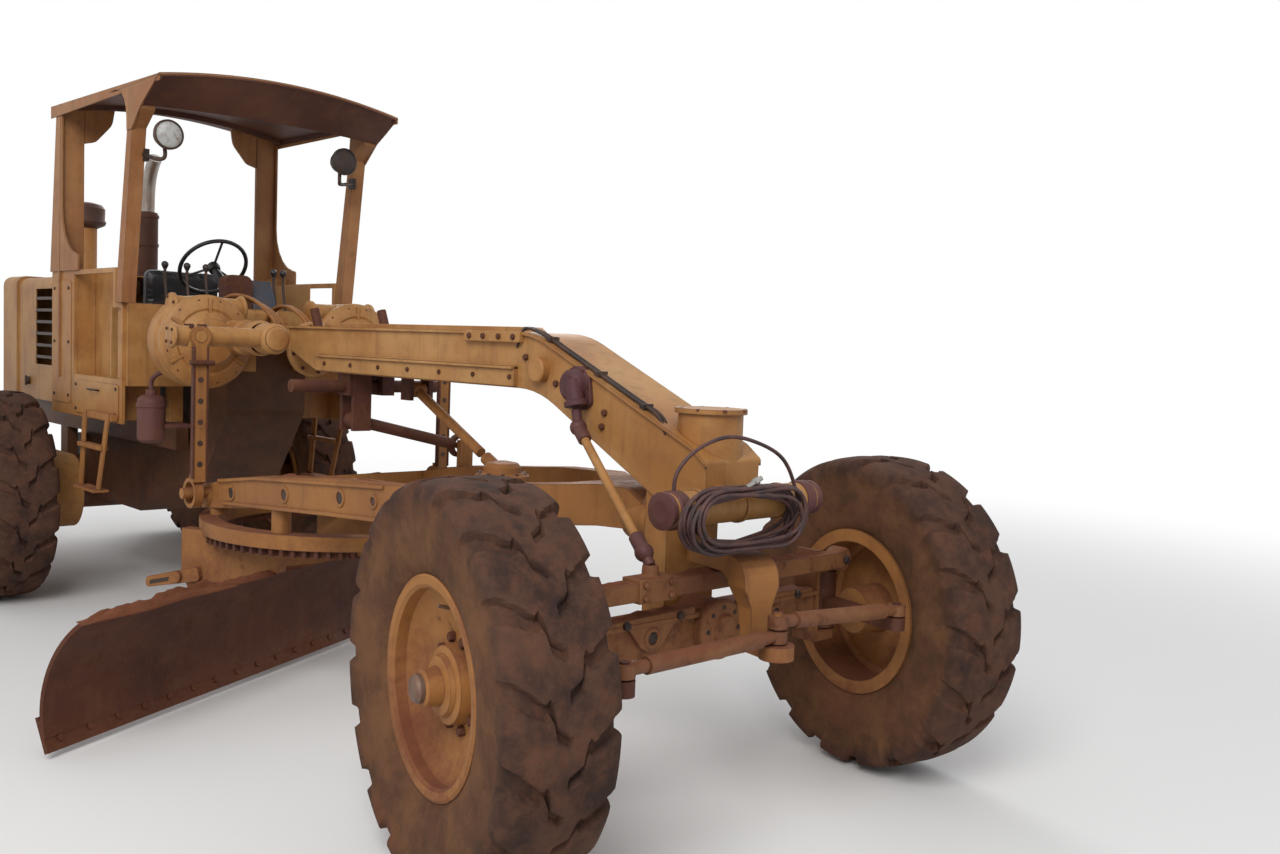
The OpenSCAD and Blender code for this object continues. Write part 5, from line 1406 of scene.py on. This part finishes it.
def add_pad(name, low, high, crown, turn=None):
    """One vinyl pad, from its rounded form through the cloth run, with one subdivision over it."""
    mesh = pad_form(low, high, crown)
    mesh = puffed(mesh, SEAT_GROW)
    if turn is not None:
        mesh.transform(turn)
    mesh.shade_smooth()
    mesh.materials.clear()
    mesh.materials.append(vinyl)
    pad = bpy.data.objects.new(name, mesh)
    scene.collection.objects.link(pad)
    fine = pad.modifiers.new("smooth", "SUBSURF")
    fine.levels = fine.render_levels = 1
    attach(pad, "chassis")
    return pad


def add_seat():
    """Two vinyl pads over a pan on a pedestal, and the two stays that carry the back."""
    cushion = add_pad("seat_cushion", (-1.490, -0.238, 1.662), (-1.062, 0.238, 1.746), 0.22)
    lean = Matrix.Rotation(BACK_LEAN, 4, "Y") @ Matrix.Translation(-BACK_HINGE)
    lean = Matrix.Translation(BACK_HINGE) @ lean
    add_pad("seat_back", (-1.510, -0.258, 1.668), (-1.110, 0.258, 1.745), 0.18, lean)
    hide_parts("seat")
    pan = plate([(-1.500, 1.640, 0.02), (-1.060, 1.640, 0.02), (-1.055, 1.664, 0.01),
                 (-1.505, 1.664, 0.01)], -0.235, 0.235)
    pedestal = lathe([(0, 0), (0.150, 0), (0.150, 0.02), (0.070, 0.04), (0.062, 0.16), (0.110, 0.19),
                      (0.110, 0.222), (0, 0.222)], (-1.290, 0, 1.420), UP, 36)
    stays = [slab((-1.600, y - 0.02, 1.640), (-1.575, y + 0.02, 2.020)) for y in (-0.15, 0.15)]
    links = [slab((-1.600, y - 0.02, 1.640), (-1.450, y + 0.02, 1.656)) for y in (-0.15, 0.15)]
    new_piece("seat_frame", [pan, pedestal] + stays + links, dark_steel, bevel=0.003)


add_seat()

# Engine end

LOUVRES = 9
LOUVRE_PITCH = 0.044
GRILLE_BARS = 6
GRILLE_PITCH = 0.085


def add_engine_end():
    """Louvres, grille bars, panels and latches on the hood's sides, the pre-cleaner's bowl, the muffler and
    its bent outlet."""
    bars, louvres, steel = [], [], []
    for side, _ in SIDES:
        low, high = on_side(side, 0.398, 0.409)
        for k in range(LOUVRES):
            z = 1.480 + LOUVRE_PITCH * k
            louvres.append(plate([(-2.560, z), (-2.548, z + 0.022, 0.008), (-2.232, z + 0.022, 0.008),
                                  (-2.220, z)], low, high))
        for k in range(GRILLE_BARS):
            z = 1.475 + GRILLE_PITCH * k
            bars.append(side_slab(side, (-3.150, -2.710), (0.385, 0.402), (z, z + 0.022)))
        louvres.append(plate([(-2.060, 1.230, 0.03), (-1.880, 1.230, 0.03), (-1.880, 2.000, 0.03),
                              (-2.060, 2.000, 0.03)], low, high))
        for x in (-2.44, -3.30):
            steel.append(rod((x, side * 0.400, 1.30), (x, side * 0.424, 1.30), 0.030, 24))
            steel.append(side_slab(side, (x - 0.008, x + 0.008), (0.42, 0.432), (1.262, 1.338)))
    new_piece("hood_louvres", louvres, paint, bevel=0.002)
    new_piece("grille_bars", bars, dark_steel, bevel=0.002)
    new_piece("hood_latches", steel, dark_steel, bevel=0.002)
    bowl = lathe([(0, 0), (0.078, 0), (0.134, 0.028), (0.142, 0.050), (0.132, 0.070), (0.134, 0.150),
                  (0.112, 0.180), (0.05, 0.196), (0, 0.198)], (-3.310, 0, 2.470), UP, 44)
    new_piece("pre_cleaner", [bowl], stack_steel)
    muffler = lathe([(0, -0.12), (0.048, -0.12), (0.048, -0.01), (0.060, 0.0), (0.072, 0.012),
                     (0.072, 0.04), (0.078, 0.042), (0.078, 0.062), (0.072, 0.064), (0.072, 0.232),
                     (0.078, 0.234), (0.078, 0.254), (0.072, 0.256), (0.072, 0.440), (0.078, 0.442),
                     (0.078, 0.462), (0.072, 0.464), (0.068, 0.480), (0.050, 0.486), (0, 0.486)],
                    (-2.610, 0.200, 2.090), UP, 44)
    stack = new_piece("muffler", [muffler], stack_steel)
    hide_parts("exhaust")
    outlet = tube(smooth_path([(-2.610, 0.200, 2.550), (-2.608, 0.200, 2.680), (-2.590, 0.200, 2.790),
                               (-2.545, 0.200, 2.885), (-2.480, 0.200, 2.955)], 36), 0.047, 24)
    new_piece("exhaust_outlet", [outlet], bright_steel)


def add_root_pipes():
    """Two bundles of painted pipes that arch from the toe board over the beam's root, with a block at the
    right one's foot."""
    pipes = []
    for k in range(3):
        y = -0.150 - 0.020 * k
        pipes.append(tube(smooth_path([(-0.560, y, 1.760), (-0.480, y - 0.01, 1.850 + 0.012 * k),
                                       (-0.300, y, 1.905 + 0.012 * k),
                                       (-0.080, y + 0.02, 1.880 + 0.010 * k), (0.090, y + 0.05, 1.800),
                                       (0.140, y + 0.05, 1.735)], 60), 0.010, 10))
    for k in range(2):
        y = 0.110 + 0.022 * k
        pipes.append(tube(smooth_path([(-0.560, y, 1.720), (-0.440, y, 1.850), (-0.260, y, 1.880),
                                       (-0.060, y, 1.820), (0.060, y, 1.735)], 50), 0.010, 10))
    block = slab((0.030, -0.190, 1.700), (0.170, -0.090, 1.775))
    new_piece("root_pipes", pipes + [block], paint_low)


add_engine_end()
add_root_pipes()

# Finishes of the parts that come with the frame

FINISHES = {
    paint: ["main_frame", "engine_hood", "radiator_guard", "air_cleaner", "cab_floor",
            "lift_cases", "crank_right", "crank_left", "front_cylinder", "tandem_cases"],
    paint_low: ["drawbar", "turn_circle", "steering_arm", "circle_drive_shaft",
                "lift_link_right", "lift_link_left"],
    rusty_ochre: ["front_axle", "lean_bar", "tie_rod_right", "tie_rod_left"],
    rusty_steel: ["knuckle_right", "knuckle_left", "shift_rack", "shift_link"],
    blade_steel: ["moldboard", "cutting_edge"],
    dark_steel: ["engine_block"],
    greasy_paint: ["drive_case", "rear_frame"],
}
for finish, names in FINISHES.items():
    for name in names:
        slots = frame["nodes"][name].data.materials
        slots.clear()
        slots.append(finish)

# Floor and light

FLOOR_R = 60.0
FLOOR_Z = -0.002


def add_floor():
    """A pale disc whose lit colour fades to plain white with distance, for what the camera or a gloss sees
    of it."""
    made, tree, shader = new_material("pale floor")
    shader.inputs["Base Color"].default_value = (0.80, 0.79, 0.77, 1)
    shader.inputs["Roughness"].default_value = 0.9
    white = node(tree, "ShaderNodeEmission", in_Color=(1, 1, 1, 1), in_Strength=1.0)
    place = node(tree, "ShaderNodeTexCoord")
    reach = node(tree, "ShaderNodeVectorMath", operation="LENGTH")
    tree.links.new(place.outputs["Object"], reach.inputs[0])
    far = ramp(tree, reach.outputs["Value"], 4.5, 11.0)
    mix = node(tree, "ShaderNodeMixShader")
    put(tree, mix.inputs[0], times(tree, far, seen_directly(tree)))
    tree.links.new(shader.outputs[0], mix.inputs[1])
    tree.links.new(white.outputs[0], mix.inputs[2])
    tree.links.new(mix.outputs[0], tree.nodes["Material Output"].inputs["Surface"])
    mesh = bpy.data.meshes.new("floor")
    turn = np.linspace(0, TAU, 64, endpoint=False)
    rim = np.stack([FLOOR_R * np.cos(turn), FLOOR_R * np.sin(turn), np.full(64, FLOOR_Z)], -1)
    mesh.from_pydata(rim.tolist(), [], [list(range(64))])
    mesh.materials.append(made)
    floor = bpy.data.objects.new("floor", mesh)
    scene.collection.objects.link(floor)


def seen_directly(tree):
    """1 for rays from the camera, a gloss or glass, and 0 for the light that falls on the machine."""
    rays = node(tree, "ShaderNodeLightPath")
    total = plus(tree, rays.outputs["Is Camera Ray"], rays.outputs["Is Glossy Ray"])
    return plus(tree, total, rays.outputs["Is Transmission Ray"], clamp=True)


def add_lights():
    """A soft sky all round, white where it is seen, with a large key lamp on the camera's side and a weak
    one behind."""
    world = bpy.data.worlds.new("studio")
    scene.world = world
    world.use_nodes = True
    tree = world.node_tree
    sky = tree.nodes["Background"]
    sky.inputs["Color"].default_value = (0.86, 0.88, 0.92, 1)
    sky.inputs["Strength"].default_value = 0.62
    white = node(tree, "ShaderNodeBackground", in_Color=(1, 1, 1, 1), in_Strength=1.0)
    mix = node(tree, "ShaderNodeMixShader")
    put(tree, mix.inputs[0], seen_directly(tree))
    tree.links.new(sky.outputs[0], mix.inputs[1])
    tree.links.new(white.outputs[0], mix.inputs[2])
    tree.links.new(mix.outputs[0], tree.nodes["World Output"].inputs["Surface"])
    for name, place, size, power in (("key", (7.0, -7.0, 8.0), 6.0, 820.0),
                                     ("fill", (-8.0, 6.0, 7.0), 6.0, 420.0)):
        data = bpy.data.lights.new(name, "AREA")
        data.size = size
        data.energy = power
        lamp = bpy.data.objects.new(name, data)
        lamp.location = place
        lamp.rotation_euler = (Vector(UP) - Vector(place)).to_track_quat("-Z", "Y").to_euler()
        scene.collection.objects.link(lamp)


add_floor()
add_lights()
